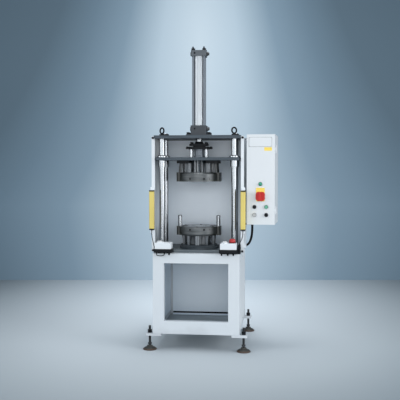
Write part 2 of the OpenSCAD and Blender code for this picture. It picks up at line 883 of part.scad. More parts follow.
// Threaded ports on the left and right faces of a cap
module port_bores(w, z) {
    both_sides() translate([w / 2 - port_seat, ram_y, z]) rotate([0, 90, 0])
        cylinder(r = port_r + port_wall + fixed, h = port_seat + cut);
}

module cylinder_upper_cap() {
    color(grey_steel) placed() difference() {
        translate([0, ram_y, tube_top]) chamfered(upper_cap_w, upper_cap_w, upper_cap_h, cap_c);
        at_tie_rods() translate([0, 0, tube_top - cut])
            cylinder(d = tie_d + 2 * fixed, h = upper_cap_h + 2 * cut);
        port_bores(upper_cap_w, port_z[1]);
    }
}

module cylinder_tube() {
    color(chrome_steel) placed() translate([0, ram_y, lower_cap_top]) difference() {
        cylinder(d = tube_d, h = tube_l);
        translate([0, 0, -cut]) cylinder(d = bore_d, h = tube_l + 2 * cut);
        for (x = [-tie_x, tie_x], y = [-tie_x, tie_x])
            translate([x, y, -cut]) cylinder(d = tie_d + 2 * clear, h = tube_l + 2 * cut);
    }
}

module tie_rods() {
    color(dark_steel) placed() at_tie_rods() translate([0, 0, lower_cap_top - tie_seat])
        cylinder(d = tie_d, h = tie_seat + tube_l + upper_cap_h + tie_nut_h + tie_over);
}

// Hexagon port adapters: open on the right of each cap, plugged on the left
module port_fittings() {
    hex_af = 30;
    color(chrome_steel) placed() for (i = [0, 1], s = [-1, 1])
        translate([s * (i == 0 ? cap_w : upper_cap_w) / 2, ram_y, port_z[i]]) rotate([0, s * 90, 0])
            difference() {
                union() {
                    translate([0, 0, -port_seat]) cylinder(r = port_r + port_wall, h = port_seat + cut);
                    cylinder(d = hex_af / cos(30), h = port_l * (s > 0 ? 0.64 : 0.45), $fn = 6);
                    if (s > 0) cylinder(r = port_r + port_wall - clear, h = port_l);
                }
                if (s > 0) translate([0, 0, port_wall - port_seat])
                    cylinder(r = port_r, h = port_seat + port_l);
            }
}

// Bronze gland bush in the lower cap
module rod_gland() {
    color([0.65, 0.50, 0.30]) placed() translate([0, ram_y, head_top]) difference() {
        cylinder(d = gland_d, h = lower_cap_h);
        translate([0, 0, -cut]) cylinder(d = rod_d + 2 * run, h = lower_cap_h + 2 * cut);
    }
}

module piston() {
    groove_z = piston_h / 2 - seal_h / 2;
    color(grey_steel) placed() translate([0, ram_y, piston_z]) difference() {
        cylinder(d = bore_d - 2 * run, h = piston_h);
        translate([0, 0, groove_z]) difference() {
            cylinder(d = bore_d + cut, h = seal_h);
            translate([0, 0, -cut]) cylinder(d = seal_core_d, h = seal_h + 2 * cut);
        }
    }
}

seal_h = 14;
seal_core_d = bore_d - seal_h;

module piston_seal() {
    color(black_plastic) placed() translate([0, ram_y, piston_z + piston_h / 2 - seal_h / 2]) difference() {
        cylinder(d = bore_d - 2 * run, h = seal_h);
        translate([0, 0, -cut]) cylinder(d = seal_core_d, h = seal_h + 2 * cut);
    }
}

// Piston rod from the piston down to the lower coupling plate
module piston_rod() {
    color(chrome_steel) placed() translate([0, ram_y, coupling_top])
        cylinder(d = rod_d, h = piston_z - coupling_top);
}

collar_d = rod_d * 1.68;

// Split coupling: tapered collar on the rod end and its foot between the plates
module rod_coupling() {
    foot_out = 8;
    foot_r = collar_d / 2 + foot_out;
    lip = 6;
    collar_l = collar_top - coupling_top;
    color(dark_steel) placed() translate([0, ram_y, 0]) difference() {
        rotate_extrude() polygon([
            [0, coupling_top], [foot_r, coupling_top], [foot_r, upper_coupling_z],
            [collar_d / 2, upper_coupling_z], [collar_d / 2, upper_coupling_top],
            [rod_d / 2 + lip, collar_top - lip], [rod_d / 2 + lip, collar_top], [0, collar_top]
        ]);
        translate([0, 0, coupling_top - cut]) cylinder(d = rod_d + 2 * fixed, h = collar_l + 2 * cut);
    }
}

// Lower plate with two ears and upper plate that clamps the collar
module coupling_plates() {
    ear_lap = 10;
    ear_z = 3;
    ear_h = coupling_t - 2 * ear_z;
    ear_end = ear_x - ear_d / 2;
    color(dark_steel) placed() translate([0, ram_y, 0]) {
        translate([0, 0, coupling_z]) {
            chamfered(coupling_w, coupling_d, coupling_t, coupling_c);
            both_sides() {
                block([coupling_w / 2 - ear_lap, -ear_d / 2, ear_z], [ear_end, ear_d / 2, ear_z + ear_h]);
                translate([ear_end, 0, ear_z]) cylinder(d = ear_d, h = ear_h);
            }
        }
        translate([0, 0, upper_coupling_z]) difference() {
            chamfered(upper_coupling_w, coupling_d, upper_coupling_t, upper_coupling_c);
            translate([0, 0, -cut]) cylinder(d = collar_d + 2 * fixed, h = upper_coupling_t + 2 * cut);
        }
    }
}

// Stand-off pillars and the adapter block between the platen and the coupling
module standoff_pillars() {
    color(chrome_steel) placed() translate([0, ram_y, platen_top]) {
        for (x = [-pillar_x, pillar_x], y = [-pillar_y, pillar_y])
            translate([x, y, 0]) cylinder(d = pillar_d, h = pillar_h);
        cylinder(d = adapter_d, h = pillar_h);
    }
}

// Sliding platen with the guide bush holes and a round boss underneath
module platen() {
    color(grey_steel) placed() difference() {
        union() {
            translate([0, ram_y, platen_z]) chamfered(platen_w, platen_d, platen_t, plate_c);
            translate([0, ram_y, strip_z]) cylinder(d = boss_d, h = strip_h + cut);
        }
        at_columns() translate([0, 0, platen_z - cut])
            cylinder(d = bush_d + 2 * fixed, h = platen_t + 2 * cut);
    }
}

// Flanged linear bushes that run on the columns
module guide_bushes() {
    color(chrome_steel) placed() at_columns() difference() {
        union() {
            translate([0, 0, platen_top]) cylinder(d = bush_flange_d, h = bush_flange_t);
            translate([0, 0, platen_z - bush_drop]) cylinder(d = bush_d, h = bush_drop + platen_t + cut);
        }
        translate([0, 0, platen_z - bush_drop - cut])
            cylinder(d = column_d + 2 * run, h = bush_drop + platen_t + bush_flange_t + 2 * cut);
    }
}

strip_gap = 8;
strip_inset = 12;
strip_x0 = boss_d / 2 + strip_gap;
strip_x1 = die_w / 2 - strip_inset;
strip_d = die_d * 0.715;

// Two parallel strips that hang the upper die under the platen
module upper_die_strips() {
    slot_d = 14;
    color(black_plastic) placed() translate([0, ram_y, strip_z]) both_sides() difference() {
        block([strip_x0, -strip_d / 2, 0], [strip_x1, strip_d / 2, strip_h]);
        for (y = [-1, 1]) translate([strip_x1 - strip_inset, y * strip_d / 4, -cut])
            cylinder(d = slot_d, h = strip_h + 2 * cut);
    }
}

// Round parts of the upper die, placed by shares of the ring's radius
die_r = die_d / 2;
leg_at = [0.860, 0.436] * die_r;
leg_d = [38, 26];
thin_rod_at = [-0.620, -0.400] * die_r;
thin_rod_d = 16;
ejector_at = [-0.450, -0.364] * die_r;
ejector_d = 46;
ejector_port_d = 9;
ejector_port_deep = 9;
ram_post_at = [0.473, -0.303] * die_r;
ram_post_d = 54;
long_rods = [[-0.152, -0.533], [-0.018, -0.533], [0.194, -0.485]] * die_r;
long_rod_d = 14;
upper_spring_at = [0.7152, -0.1818] * die_r;
spring_d = 34;
spring_wire = 6;

// Legs, round rods and two ejector cylinders of the upper die
module upper_die_posts() {
    color(dark_steel) placed() translate([0, ram_y, upper_ring_top]) for (a = [0, 180]) rotate([0, 0, a]) {
        for (s = [-1, 1]) translate([leg_at[0], s * leg_at[1], 0])
            cylinder(d1 = leg_d[0], d2 = leg_d[1], h = upper_post_h);
        translate(thin_rod_at) cylinder(d = thin_rod_d, h = upper_post_h);
        translate(ejector_at) difference() {
            cylinder(d = ejector_d, h = upper_post_h);
            for (share = [0.25, 0.75]) translate([0, -ejector_d / 2 - cut, share * upper_post_h])
                rotate([-90, 0, 0]) cylinder(d = ejector_port_d, h = ejector_port_deep + cut);
        }
        translate(ram_post_at) cylinder(d = ram_post_d, h = upper_post_h);
        for (place = long_rods) translate(place) cylinder(d = long_rod_d, h = upper_post_h + strip_h);
    }
}

// Coil springs between the strips and the upper ring
module upper_die_springs() {
    steps = 12;
    turns = 6;
    rise = upper_post_h - spring_wire;
    coil_r = (spring_d - spring_wire) / 2;
    route = [
        for (i = [0 : turns * steps])
            [coil_r * cos(360 * i / steps), coil_r * sin(360 * i / steps),
             spring_wire / 2 + rise * i / (turns * steps)]
    ];
    color(chrome_steel) placed() translate([0, ram_y, upper_ring_top]) for (turn = [0, 180])
        rotate([0, 0, turn]) translate(upper_spring_at) cord(route, spring_wire, [0, 0, 1], 6);
}

// Die ring: round body with two ears, a chamfer, guide bores and handling holes
module die_ring(h, chamfer_top, pin_clear) {
    hole_in = 22;
    hole_l = 60;
    small_share = 0.6;
    low_c = chamfer_top ? 0 : die_c;
    high_c = chamfer_top ? die_c : 0;
    hole_z = chamfer_top ? hole_in : h - hole_in;
    difference() {
        union() {
            rotate_extrude() polygon([
                [0, 0], [die_r - low_c, 0], [die_r, low_c], [die_r, h - high_c], [die_r - high_c, h], [0, h]
            ]);
            chamfered(die_w, die_ear_d, h, die_ear_c);
        }
        for (s = [-1, 1]) translate([s * pin_x, 0, -cut])
            cylinder(d = pin_d + 2 * pin_clear, h = h + 2 * cut);
        for (x = [-handling_x, handling_x]) translate([x, -die_r, hole_z]) rotate([-90, 0, 0])
            cylinder(r = handling_r, h = hole_l);
        translate([die_r * small_share, -die_r, hole_z]) rotate([-90, 0, 0])
            cylinder(r = handling_r * small_share, h = hole_l);
    }
}

pocket_d = 190;
pocket_deep = 9;

module upper_die_ring() {
    color(dark_steel) placed() translate([0, ram_y, upper_ring_z]) difference() {
        die_ring(upper_ring_h, true, clear);
        translate([0, 0, -cut]) cylinder(d = pocket_d, h = pocket_deep + cut);
    }
}

module lower_die_ring() {
    slot_d = 22;
    slot_deep = 14;
    slot_r = pocket_d / 2 + slot_d;
    color(dark_steel) placed() translate([0, ram_y, lower_ring_z]) difference() {
        die_ring(lower_ring_h, false, fixed);
        translate([0, 0, lower_ring_h - pocket_deep]) cylinder(d = pocket_d, h = pocket_deep + cut);
        for (a = [30 : 60 : 330]) rotate([0, 0, a]) translate([slot_r, 0, lower_ring_h - slot_deep])
            cylinder(d = slot_d, h = slot_deep + cut);
    }
}

// Round shoe of the lower die with a stepped edge
module lower_die_shoe() {
    r = shoe_d / 2;
    step = 10;
    edge = 4;
    step_z = shoe_h * 0.55;
    color(dark_steel) placed() translate([0, ram_y, bed_z]) rotate_extrude() polygon([
        [0, 0], [r, 0], [r, step_z], [r - step, step_z], [r - step, shoe_h - edge], [r - step - edge, shoe_h],
        [0, shoe_h]
    ]);
}

// Flared legs, core and two stops of the lower die
module lower_die_posts() {
    post_d = [20, 34];
    post_r = shoe_d / 2 - post_d[1];
    core_d = 150;
    stop_d = 30;
    color(dark_steel) placed() translate([0, ram_y, shoe_top]) {
        for (a = [20, 55, 125, 160, 200, 235, 305, 340]) rotate([0, 0, a]) translate([post_r, 0, 0])
            cylinder(d1 = post_d[0], d2 = post_d[1], h = lower_post_h);
        cylinder(d = core_d, h = lower_post_h);
        for (s = [-1, 1]) translate([0, s * (post_r + stop_c / 2), 0])
            chamfered(post_d[1], stop_d, lower_post_h, stop_c);
    }
}

// Guide pins that stand in the lower ring
module lower_die_pins() {
    lead = 5;
    pin_l = lower_ring_h + pin_h;
    color(chrome_steel) placed() translate([0, ram_y, lower_ring_z]) both_sides() translate([pin_x, 0, 0])
        rotate_extrude() polygon([
            [0, 0], [pin_d / 2, 0], [pin_d / 2, pin_l - lead], [pin_d / 2 - lead, pin_l], [0, pin_l]
        ]);
}

// Black bases of the two stations on their rails, and the connector block
module station_bases() {
    rail_w = 24;
    rail_end = station_d / 2 - station_c;
    color(black_plastic) placed() {
        both_sides() translate([station_x, station_y, 0]) {
            translate([0, 0, station_z]) chamfered(station_w, station_d, station_base_h, station_c);
            for (x = [-1, 1]) translate([x * station_w / 4, 0, 0])
                block([-rail_w / 2, -station_y, frame_top], [rail_w / 2, rail_end, station_z]);
        }
        translate([block_x + block_w / 2, block_y + block_d / 2, frame_top])
            chamfered(block_w, block_d, block_h, block_c);
    }
}

palm_y = 4;
stem_d = 22;

// White station housings with sloped ends and stem holes
module station_housings() {
    housing_d = station_d - 2 * station_c;
    slope = 5;
    color(white_paint) placed() both_sides() translate([station_x, station_y, housing_z]) difference() {
        rotate([90, 0, 0]) translate([0, 0, -housing_d / 2]) linear_extrude(housing_d) polygon([
            [-housing_w / 2, 0], [housing_w / 2, 0], [housing_w / 2, housing_h - slope],
            [housing_w / 2 - slope, housing_h], [-housing_w / 2 + slope, housing_h],
            [-housing_w / 2, housing_h - slope]
        ]);
        for (x = [-palm_x, palm_x]) translate([x, palm_y, housing_h / 2])
            cylinder(d = stem_d + 2 * clear, h = housing_h);
    }
}

// Palm button with its stem; the head clears the housing by its travel
module palm_button(d, head_h) {
    edge = 2;
    gap = button_travel + 1;
    stem_in = housing_h * 0.3;
    translate([0, 0, housing_top]) {
        translate([0, 0, gap]) rotate_extrude() polygon([
            [0, 0], [d / 2 - edge, 0], [d / 2, edge], [d / 2, head_h * 0.5],
            [d / 2 - 2 * edge, head_h * 0.92], [d / 4, head_h], [0, head_h]
        ]);
        translate([0, 0, -stem_in]) cylinder(d = stem_d, h = stem_in + gap + cut);
    }
}

module left_palm_button() {
    color(pale_plastic) placed() translate([-station_x - palm_x, station_y + palm_y, 0])
        palm_button(palm_d, palm_h);
}

module right_palm_button() {
    color(pale_plastic) placed() translate([station_x - palm_x, station_y + palm_y, 0])
        palm_button(palm_d, palm_h);
}

// Red mushroom head of the emergency stop
module e_stop_button() {
    color(red_plastic) placed() translate([station_x + palm_x, station_y + palm_y, 0])
        palm_button(stop_d, stop_h);
}

// Plugged spare glands under the stations
spare_gland_x = [station_x - 54, station_x - 4, station_x + 40, -station_x + 48];
spare_gland_d = 12;
spare_gland_h = 20;

// Cable gland: hexagon foot and round dome nut, standing on its foot
module gland(d, h) {
    foot_h = h * 0.4;
    hex_share = 1.25;
    dome_share = [1.15, 1.02];
    cylinder(d = d * hex_share / cos(30), h = foot_h, $fn = 6);
    translate([0, 0, foot_h]) cylinder(d1 = d * dome_share[0], d2 = d * dome_share[1], h = h - foot_h);
}

// Gland that stands on a face and ends where a cable begins
module standing_gland(end, face_z, d) {
    translate([end[0], end[1], face_z]) gland(d, end[2] - face_z);
}

// Gland that hangs from a face and ends where a cable begins
module hanging_gland(end, face_z, d) {
    translate([end[0], end[1], face_z]) mirror([0, 0, 1]) gland(d, face_z - end[2]);
}

// Elbow that stands on a face and takes a hose from the right
module elbow_gland(end, face_z, d) {
    body_d = d * 1.3;
    neck_d = d * 1.1;
    translate([end[0] - body_d, end[1], face_z]) cylinder(d = body_d, h = end[2] - face_z + body_d / 2);
    translate([end[0] - body_d, end[1], end[2]]) rotate([0, 90, 0]) cylinder(d = neck_d, h = body_d);
}

// Glands under the stations, on the frame for the left cable and at both hose ends
module cable_glands() {
    color(black_plastic) placed() {
        for (x = spare_gland_x)
            hanging_gland([x, gland_y, station_z - spare_gland_h], station_z, spare_gland_d);
        for (end = [loop_cable[0], loop_cable[len(loop_cable) - 1]])
            hanging_gland(end, station_z, cable_d * 1.5);
        standing_gland(left_cable[len(left_cable) - 1], frame_top, cable_d * 1.35);
        hanging_gland(hose_route[0], box_z0, hose_d * 1.05);
        elbow_gland(hose_route[len(hose_route) - 1], frame_top, hose_d * 1.05);
    }
}

// Thick hose from the control box down to the base
module box_hose() {
    color(black_plastic) placed() cord(smooth_route(hose_route, 3), hose_d, [1, 1, 0], 12);
}

knuckle_h = 20;
knuckle_gap = 0.5;
leaf = 15;
hinge_z = [box_h * 0.12, box_h * 0.88 - 3 * knuckle_h];
hinge_pin_r = hinge_r / 2;

// One knuckle of a hinge with its leaf on the side of the box or the door
module knuckle(z, y0, y1) {
    translate([hinge_x, hinge_y, z]) cylinder(r = hinge_r, h = knuckle_h - knuckle_gap);
    block([box_w, y0, z], [hinge_x, y1, z + knuckle_h - knuckle_gap]);
}

// Sheet box, open at the front, with a rain rim, hinge knuckles and pins
module box_body() {
    rim = 12;
    color(white_paint) in_box() {
        difference() {
            block([0, body_y, 0], [box_w, box_d, box_h]);
            block([box_t, body_y + box_t, box_t], [box_w - box_t, box_d - box_t, box_h - box_t]);
            block([rim, body_y - cut, rim], [box_w - rim, body_y + box_t + cut, box_h - rim]);
        }
        for (z = hinge_z) {
            for (i = [0, 2]) knuckle(z + i * knuckle_h, body_y, body_y + leaf);
            translate([hinge_x, hinge_y, z]) cylinder(r = hinge_pin_r, h = 3 * knuckle_h - knuckle_gap);
        }
    }
}

// Two flat arms between the guard web and the left wall of the box
module box_brackets() {
    arm_t = 12;
    arm_y = [box_d * 0.45, box_d * 0.75];
    arm_z = box_z0 + box_h * 0.12;
    color(white_paint) placed() for (z = [arm_z, head_z])
        translate([0, 0, z]) linear_extrude(arm_t) polygon([
            [guard_x, box_point(0, arm_y[0])[1]], box_point(0, arm_y[0]),
            box_point(0, arm_y[1]), [guard_x, box_point(0, arm_y[1])[1]]
        ]);
}

plate_stand = 12;
panel_t = 2;

// Mounting plate inside the box, on four studs on the rear wall
module box_panel() {
    margin = 22;
    inset = margin + 14;
    stand_d = 8;
    y1 = box_d - box_t - plate_stand;
    color([0.75, 0.76, 0.72]) in_box() {
        block([margin, y1 - panel_t, margin], [box_w - margin, y1, box_h - margin]);
        for (x = [inset, box_w - inset], z = [inset, box_h - inset])
            translate([x, y1 - cut, z]) rotate([-90, 0, 0]) cylinder(d = stand_d, h = plate_stand + cut);
    }
}

// Rows of switchgear on rails: supplies at the top, then controllers, relays and terminals
module box_modules() {
    y1 = box_d - box_t - plate_stand - panel_t;
    rail_t = 8;
    rail_h = 35;
    x0 = box_w * 0.15;
    x1 = box_w * 0.85;
    rows = [[0.83, 0.14, 3, 0.22], [0.60, 0.15, 2, 0.20], [0.40, 0.11, 5, 0.18], [0.20, 0.09, 8, 0.15]];
    color([0.28, 0.30, 0.33]) in_box() for (row = rows) {
        pitch = (x1 - x0) / row[2];
        z = row[0] * box_h;
        half_h = row[1] * box_h / 2;
        block([x0, y1 - rail_t, z - rail_h / 2], [x1, y1, z + rail_h / 2]);
        for (i = [0 : row[2] - 1]) block(
            [x0 + i * pitch + cut, y1 - rail_t - row[3] * box_d, z - half_h],
            [x0 + (i + 1) * pitch - cut, y1 - rail_t + cut, z + half_h]
        );
    }
}

control_d = 22;
switch_hole_d = 22;
turn_gap = 0.4;
upper_row_z = button_z + button_pitch;
controls = [
    [panel_x - button_x, upper_row_z], [panel_x + button_x, upper_row_z],
    [panel_x - button_x, button_z], [panel_x + button_x, button_z], [panel_x, lamp_z]
];

// Frame of one control: z points out of the door towards the operator
module at_control(place) {
    in_box() translate([place[0], 0, place[1]]) rotate([90, 0, 0]) children();
}

// Door pan with folded edges, holes for the controls and its hinge knuckles
module box_door() {
    color(white_paint) difference() {
        in_box() {
            difference() {
                block([0, 0, 0], [box_w, door_d, box_h]);
                block([box_t, box_t, box_t], [box_w - box_t, door_d + cut, box_h - box_t]);
            }
            for (z = hinge_z) knuckle(z + knuckle_h, door_d - leaf, door_d);
        }
        for (place = controls) at_control(place) translate([0, 0, -door_d])
            cylinder(d = control_d + 2 * fixed, h = door_d + cut);
        at_control([panel_x, switch_z]) translate([0, 0, -door_d])
            cylinder(d = switch_hole_d, h = door_d + cut);
        in_box() for (z = hinge_z) translate([hinge_x, hinge_y, z])
            cylinder(r = hinge_pin_r + run, h = 3 * knuckle_h);
    }
}

bezel_t = 3;
bezel_d = button_d + 5;
stem_bore_d = 17;
button_stem_d = stem_bore_d - 2 * clear;
sleeve_l = 24;

// Bezel rings with their threaded sleeves through the door
module button_bezels() {
    color(chrome_steel) for (place = controls) at_control(place) difference() {
        union() {
            cylinder(d1 = bezel_d, d2 = bezel_d - bezel_t, h = bezel_t);
            translate([0, 0, -sleeve_l]) cylinder(d = control_d, h = sleeve_l + cut);
        }
        translate([0, 0, -sleeve_l - cut]) cylinder(d = stem_bore_d, h = sleeve_l + bezel_t + 2 * cut);
    }
}

// Green dome of the signal lamp in its bezel
module signal_lamp() {
    r = button_d / 2;
    dome = 11.5;
    color([0.08, 0.58, 0.43]) at_control(controls[4]) {
        rotate_extrude() polygon([
            [0, bezel_t], [r, bezel_t], [r, bezel_t + dome * 0.43], [r * 0.80, bezel_t + dome * 0.78],
            [r * 0.50, bezel_t + dome * 0.95], [0, bezel_t + dome]
        ]);
        translate([0, 0, -sleeve_l]) cylinder(d = stem_bore_d - 2 * fixed, h = sleeve_l + bezel_t + cut);
    }
}

// Push button: dished cap and stem
module push_button() {
    r = button_d / 2;
    rim = 1;
    cap_h = 5;
    seat = bezel_t + button_travel;
    face = seat + cap_h;
    rotate_extrude() polygon([
        [0, seat], [r, seat], [r, face - rim], [r - rim, face], [r - 3 * rim, face], [0, face - 1.5 * rim]
    ]);
    translate([0, 0, -sleeve_l]) cylinder(d = button_stem_d, h = sleeve_l + bezel_t + button_travel + cut);
}

module black_button() {
    color(black_plastic) at_control(controls[0]) push_button();
}

module green_button() {
    color([0.10, 0.50, 0.42]) at_control(controls[1]) push_button();
}

module white_button() {
    color([0.78, 0.79, 0.79]) at_control(controls[2]) push_button();
}

// Selector knob: round skirt and a raised grip
module selector_knob() {
    skirt_z = bezel_t + turn_gap;
    skirt_h = 7;
    taper = 3;
    grip = [10, button_d + 1, 10];
    color(black_plastic) at_control(controls[3]) {
        translate([0, 0, skirt_z]) cylinder(d1 = button_d, d2 = button_d - taper, h = skirt_h);
        translate([-grip[0] / 2, -button_d / 2 + cut, skirt_z + skirt_h - cut]) cube(grip);
        translate([0, 0, -sleeve_l]) cylinder(d = stem_bore_d - 2 * run, h = sleeve_l + skirt_z + cut);
    }
}

switch_plate_t = 3;
switch_shaft_r = 7;

// Yellow plate behind the main switch
module switch_plate() {
    margin = 3;
    low = switch_z - handle_w / 2 - margin;
    color([0.90, 0.78, 0.25]) in_box() difference() {
        translate([panel_x, 0, low + switch_plate_h / 2]) rotate([90, 0, 0])
            chamfered(switch_plate_w, switch_plate_h, switch_plate_t, switch_plate_c);
        translate([panel_x, cut, switch_z]) rotate([90, 0, 0])
            cylinder(r = switch_shaft_r + run, h = switch_plate_t + 2 * cut);
    }
}

// Red rotary handle: rounded-square base and a bar grip
module main_switch_handle() {
    seat = switch_plate_t + turn_gap;
    base_h = 14;
    base_r = [handle_w * 0.58, handle_w * 0.56];
    grip_w = 24;
    grip_h = 22;
    grip_r = [handle_w * 0.50, handle_w * 0.46];
    color(red_plastic) at_control([panel_x, switch_z]) {
        translate([0, 0, seat]) intersection() {
            translate([-handle_w / 2, -handle_w / 2, 0]) cube([handle_w, handle_w, base_h]);
            cylinder(r1 = base_r[0], r2 = base_r[1], h = base_h);
        }
        translate([0, 0, seat + base_h - cut]) intersection() {
            translate([-grip_w / 2, -handle_w / 2, 0]) cube([grip_w, handle_w, grip_h]);
            cylinder(r1 = grip_r[0], r2 = grip_r[1], h = grip_h);
        }
        translate([0, 0, -door_d]) cylinder(r = switch_shaft_r, h = door_d + seat + cut);
    }
}

base_frame();
base_panels();
base_deck();
foot_studs();
foot_pads();
base_plate();
top_plate();
guide_columns();
frame_fasteners();
eye_bolts();
guard_left();
guard_right();
back_guard();
guard_knobs();
curtain_housings();
curtain_end_caps();
curtain_brackets();
sensor_cables();
cylinder_lower_cap();
cylinder_upper_cap();
cylinder_tube();
tie_rods();
port_fittings();
rod_gland();
lower_die_shoe();
lower_die_posts();
lower_die_ring();
lower_die_pins();
station_bases();
station_housings();
cable_glands();
box_body();
box_brackets();
box_panel();
box_modules();
box_hose();
piston();
piston_seal();
piston_rod();
rod_coupling();
coupling_plates();
standoff_pillars();
platen();
guide_bushes();
upper_die_strips();
upper_die_posts();
upper_die_springs();
upper_die_ring();
box_door();
button_bezels();
signal_lamp();
switch_plate();
main_switch_handle();
black_button();
green_button();
white_button();
selector_knob();
left_palm_button();
right_palm_button();
e_stop_button();
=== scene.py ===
"""Looks of a four-column hydraulic press with a die set, built around its packed solids.

Lengths in the classes are millimetres. In the press frame x runs from the press axis to the
operator's right, y from the front of the base to the rear, and z from the floor up.
"""

from __future__ import annotations

import json
import logging
import math
from dataclasses import dataclass
from enum import Enum
from typing import Any, Callable, Sequence

import bmesh
import bpy
from mathutils import Matrix, Vector

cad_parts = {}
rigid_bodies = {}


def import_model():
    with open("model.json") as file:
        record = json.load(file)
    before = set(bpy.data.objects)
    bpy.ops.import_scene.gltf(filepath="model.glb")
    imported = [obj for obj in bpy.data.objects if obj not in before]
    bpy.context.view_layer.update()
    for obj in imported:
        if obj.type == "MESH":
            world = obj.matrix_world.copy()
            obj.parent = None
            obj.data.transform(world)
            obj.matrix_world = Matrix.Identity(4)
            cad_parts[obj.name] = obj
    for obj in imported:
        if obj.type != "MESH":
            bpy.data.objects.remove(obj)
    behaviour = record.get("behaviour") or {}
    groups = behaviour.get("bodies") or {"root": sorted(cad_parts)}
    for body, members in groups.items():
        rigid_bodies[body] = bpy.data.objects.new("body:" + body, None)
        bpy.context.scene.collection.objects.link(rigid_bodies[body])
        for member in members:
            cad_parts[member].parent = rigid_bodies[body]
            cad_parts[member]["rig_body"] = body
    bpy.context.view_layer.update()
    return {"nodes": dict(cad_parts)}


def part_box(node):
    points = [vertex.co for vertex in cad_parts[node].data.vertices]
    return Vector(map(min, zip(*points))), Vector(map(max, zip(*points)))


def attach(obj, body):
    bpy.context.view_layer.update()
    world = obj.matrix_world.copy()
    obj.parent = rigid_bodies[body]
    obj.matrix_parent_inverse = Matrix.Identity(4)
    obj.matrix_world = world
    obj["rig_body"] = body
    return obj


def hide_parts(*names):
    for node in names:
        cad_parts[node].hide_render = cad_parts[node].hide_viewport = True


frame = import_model()

LOG = logging.getLogger("press")
MM = 0.001
ROOT = "press_frame"
RAM = "ram"
DOOR = "door"
AXIS_Y = 232.0
COAT_ROUGH = 0.12
THREAD_DEPTH = 0.54
FLAT = math.radians(0.6)
SHARP = math.radians(32.0)
SMOOTH = 38.0
PAN_OUTLINE = ((0, 0), (1, 0), (1, 0.35), (0.82, 0.75), (0.45, 1), (0, 1))

Socket = bpy.types.NodeSocket
Pair = tuple[float, float]
Point = tuple[float, float, float]
Plate = tuple[float, float, float, float, float]
Colour = Point
Profile = Sequence[Pair]


class Facing(Enum):
    """Direction that a small piece's own z axis takes."""

    UP = Matrix.Identity(4)
    FRONT = Matrix.Rotation(math.pi / 2, 4, "X")
    BACK = Matrix.Rotation(-math.pi / 2, 4, "X")
    RIGHT = Matrix.Rotation(math.pi / 2, 4, "Y")
    LEFT = Matrix.Rotation(-math.pi / 2, 4, "Y")


def press_origin() -> Vector:
    """Row-frame point of the press frame's origin, from the base's own box."""
    low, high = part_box("base_frame")
    return Vector(((low.x + high.x) / 2, low.y, 0.0))


ORIGIN = press_origin()


def at(x: float, y: float, z: float) -> Vector:
    """Row-frame point of a place in the press frame."""
    return ORIGIN + Vector((x, y, z)) * MM


def place(x: float, y: float, z: float, facing: Facing = Facing.UP) -> Matrix:
    """Matrix that puts a piece in millimetres at a place in the press frame, its own z axis facing some way."""
    return Matrix.Translation(at(x, y, z)) @ facing.value @ Matrix.Scale(MM, 4)


class Grain(Enum):
    """How a fine pattern is drawn out along a surface."""

    EVEN = (1.0, 1.0, 1.0)
    ALONG_X = (0.05, 1.0, 1.0)
    ALONG_Z = (1.0, 1.0, 0.05)
    TURNED = (0.08, 0.08, 1.0)


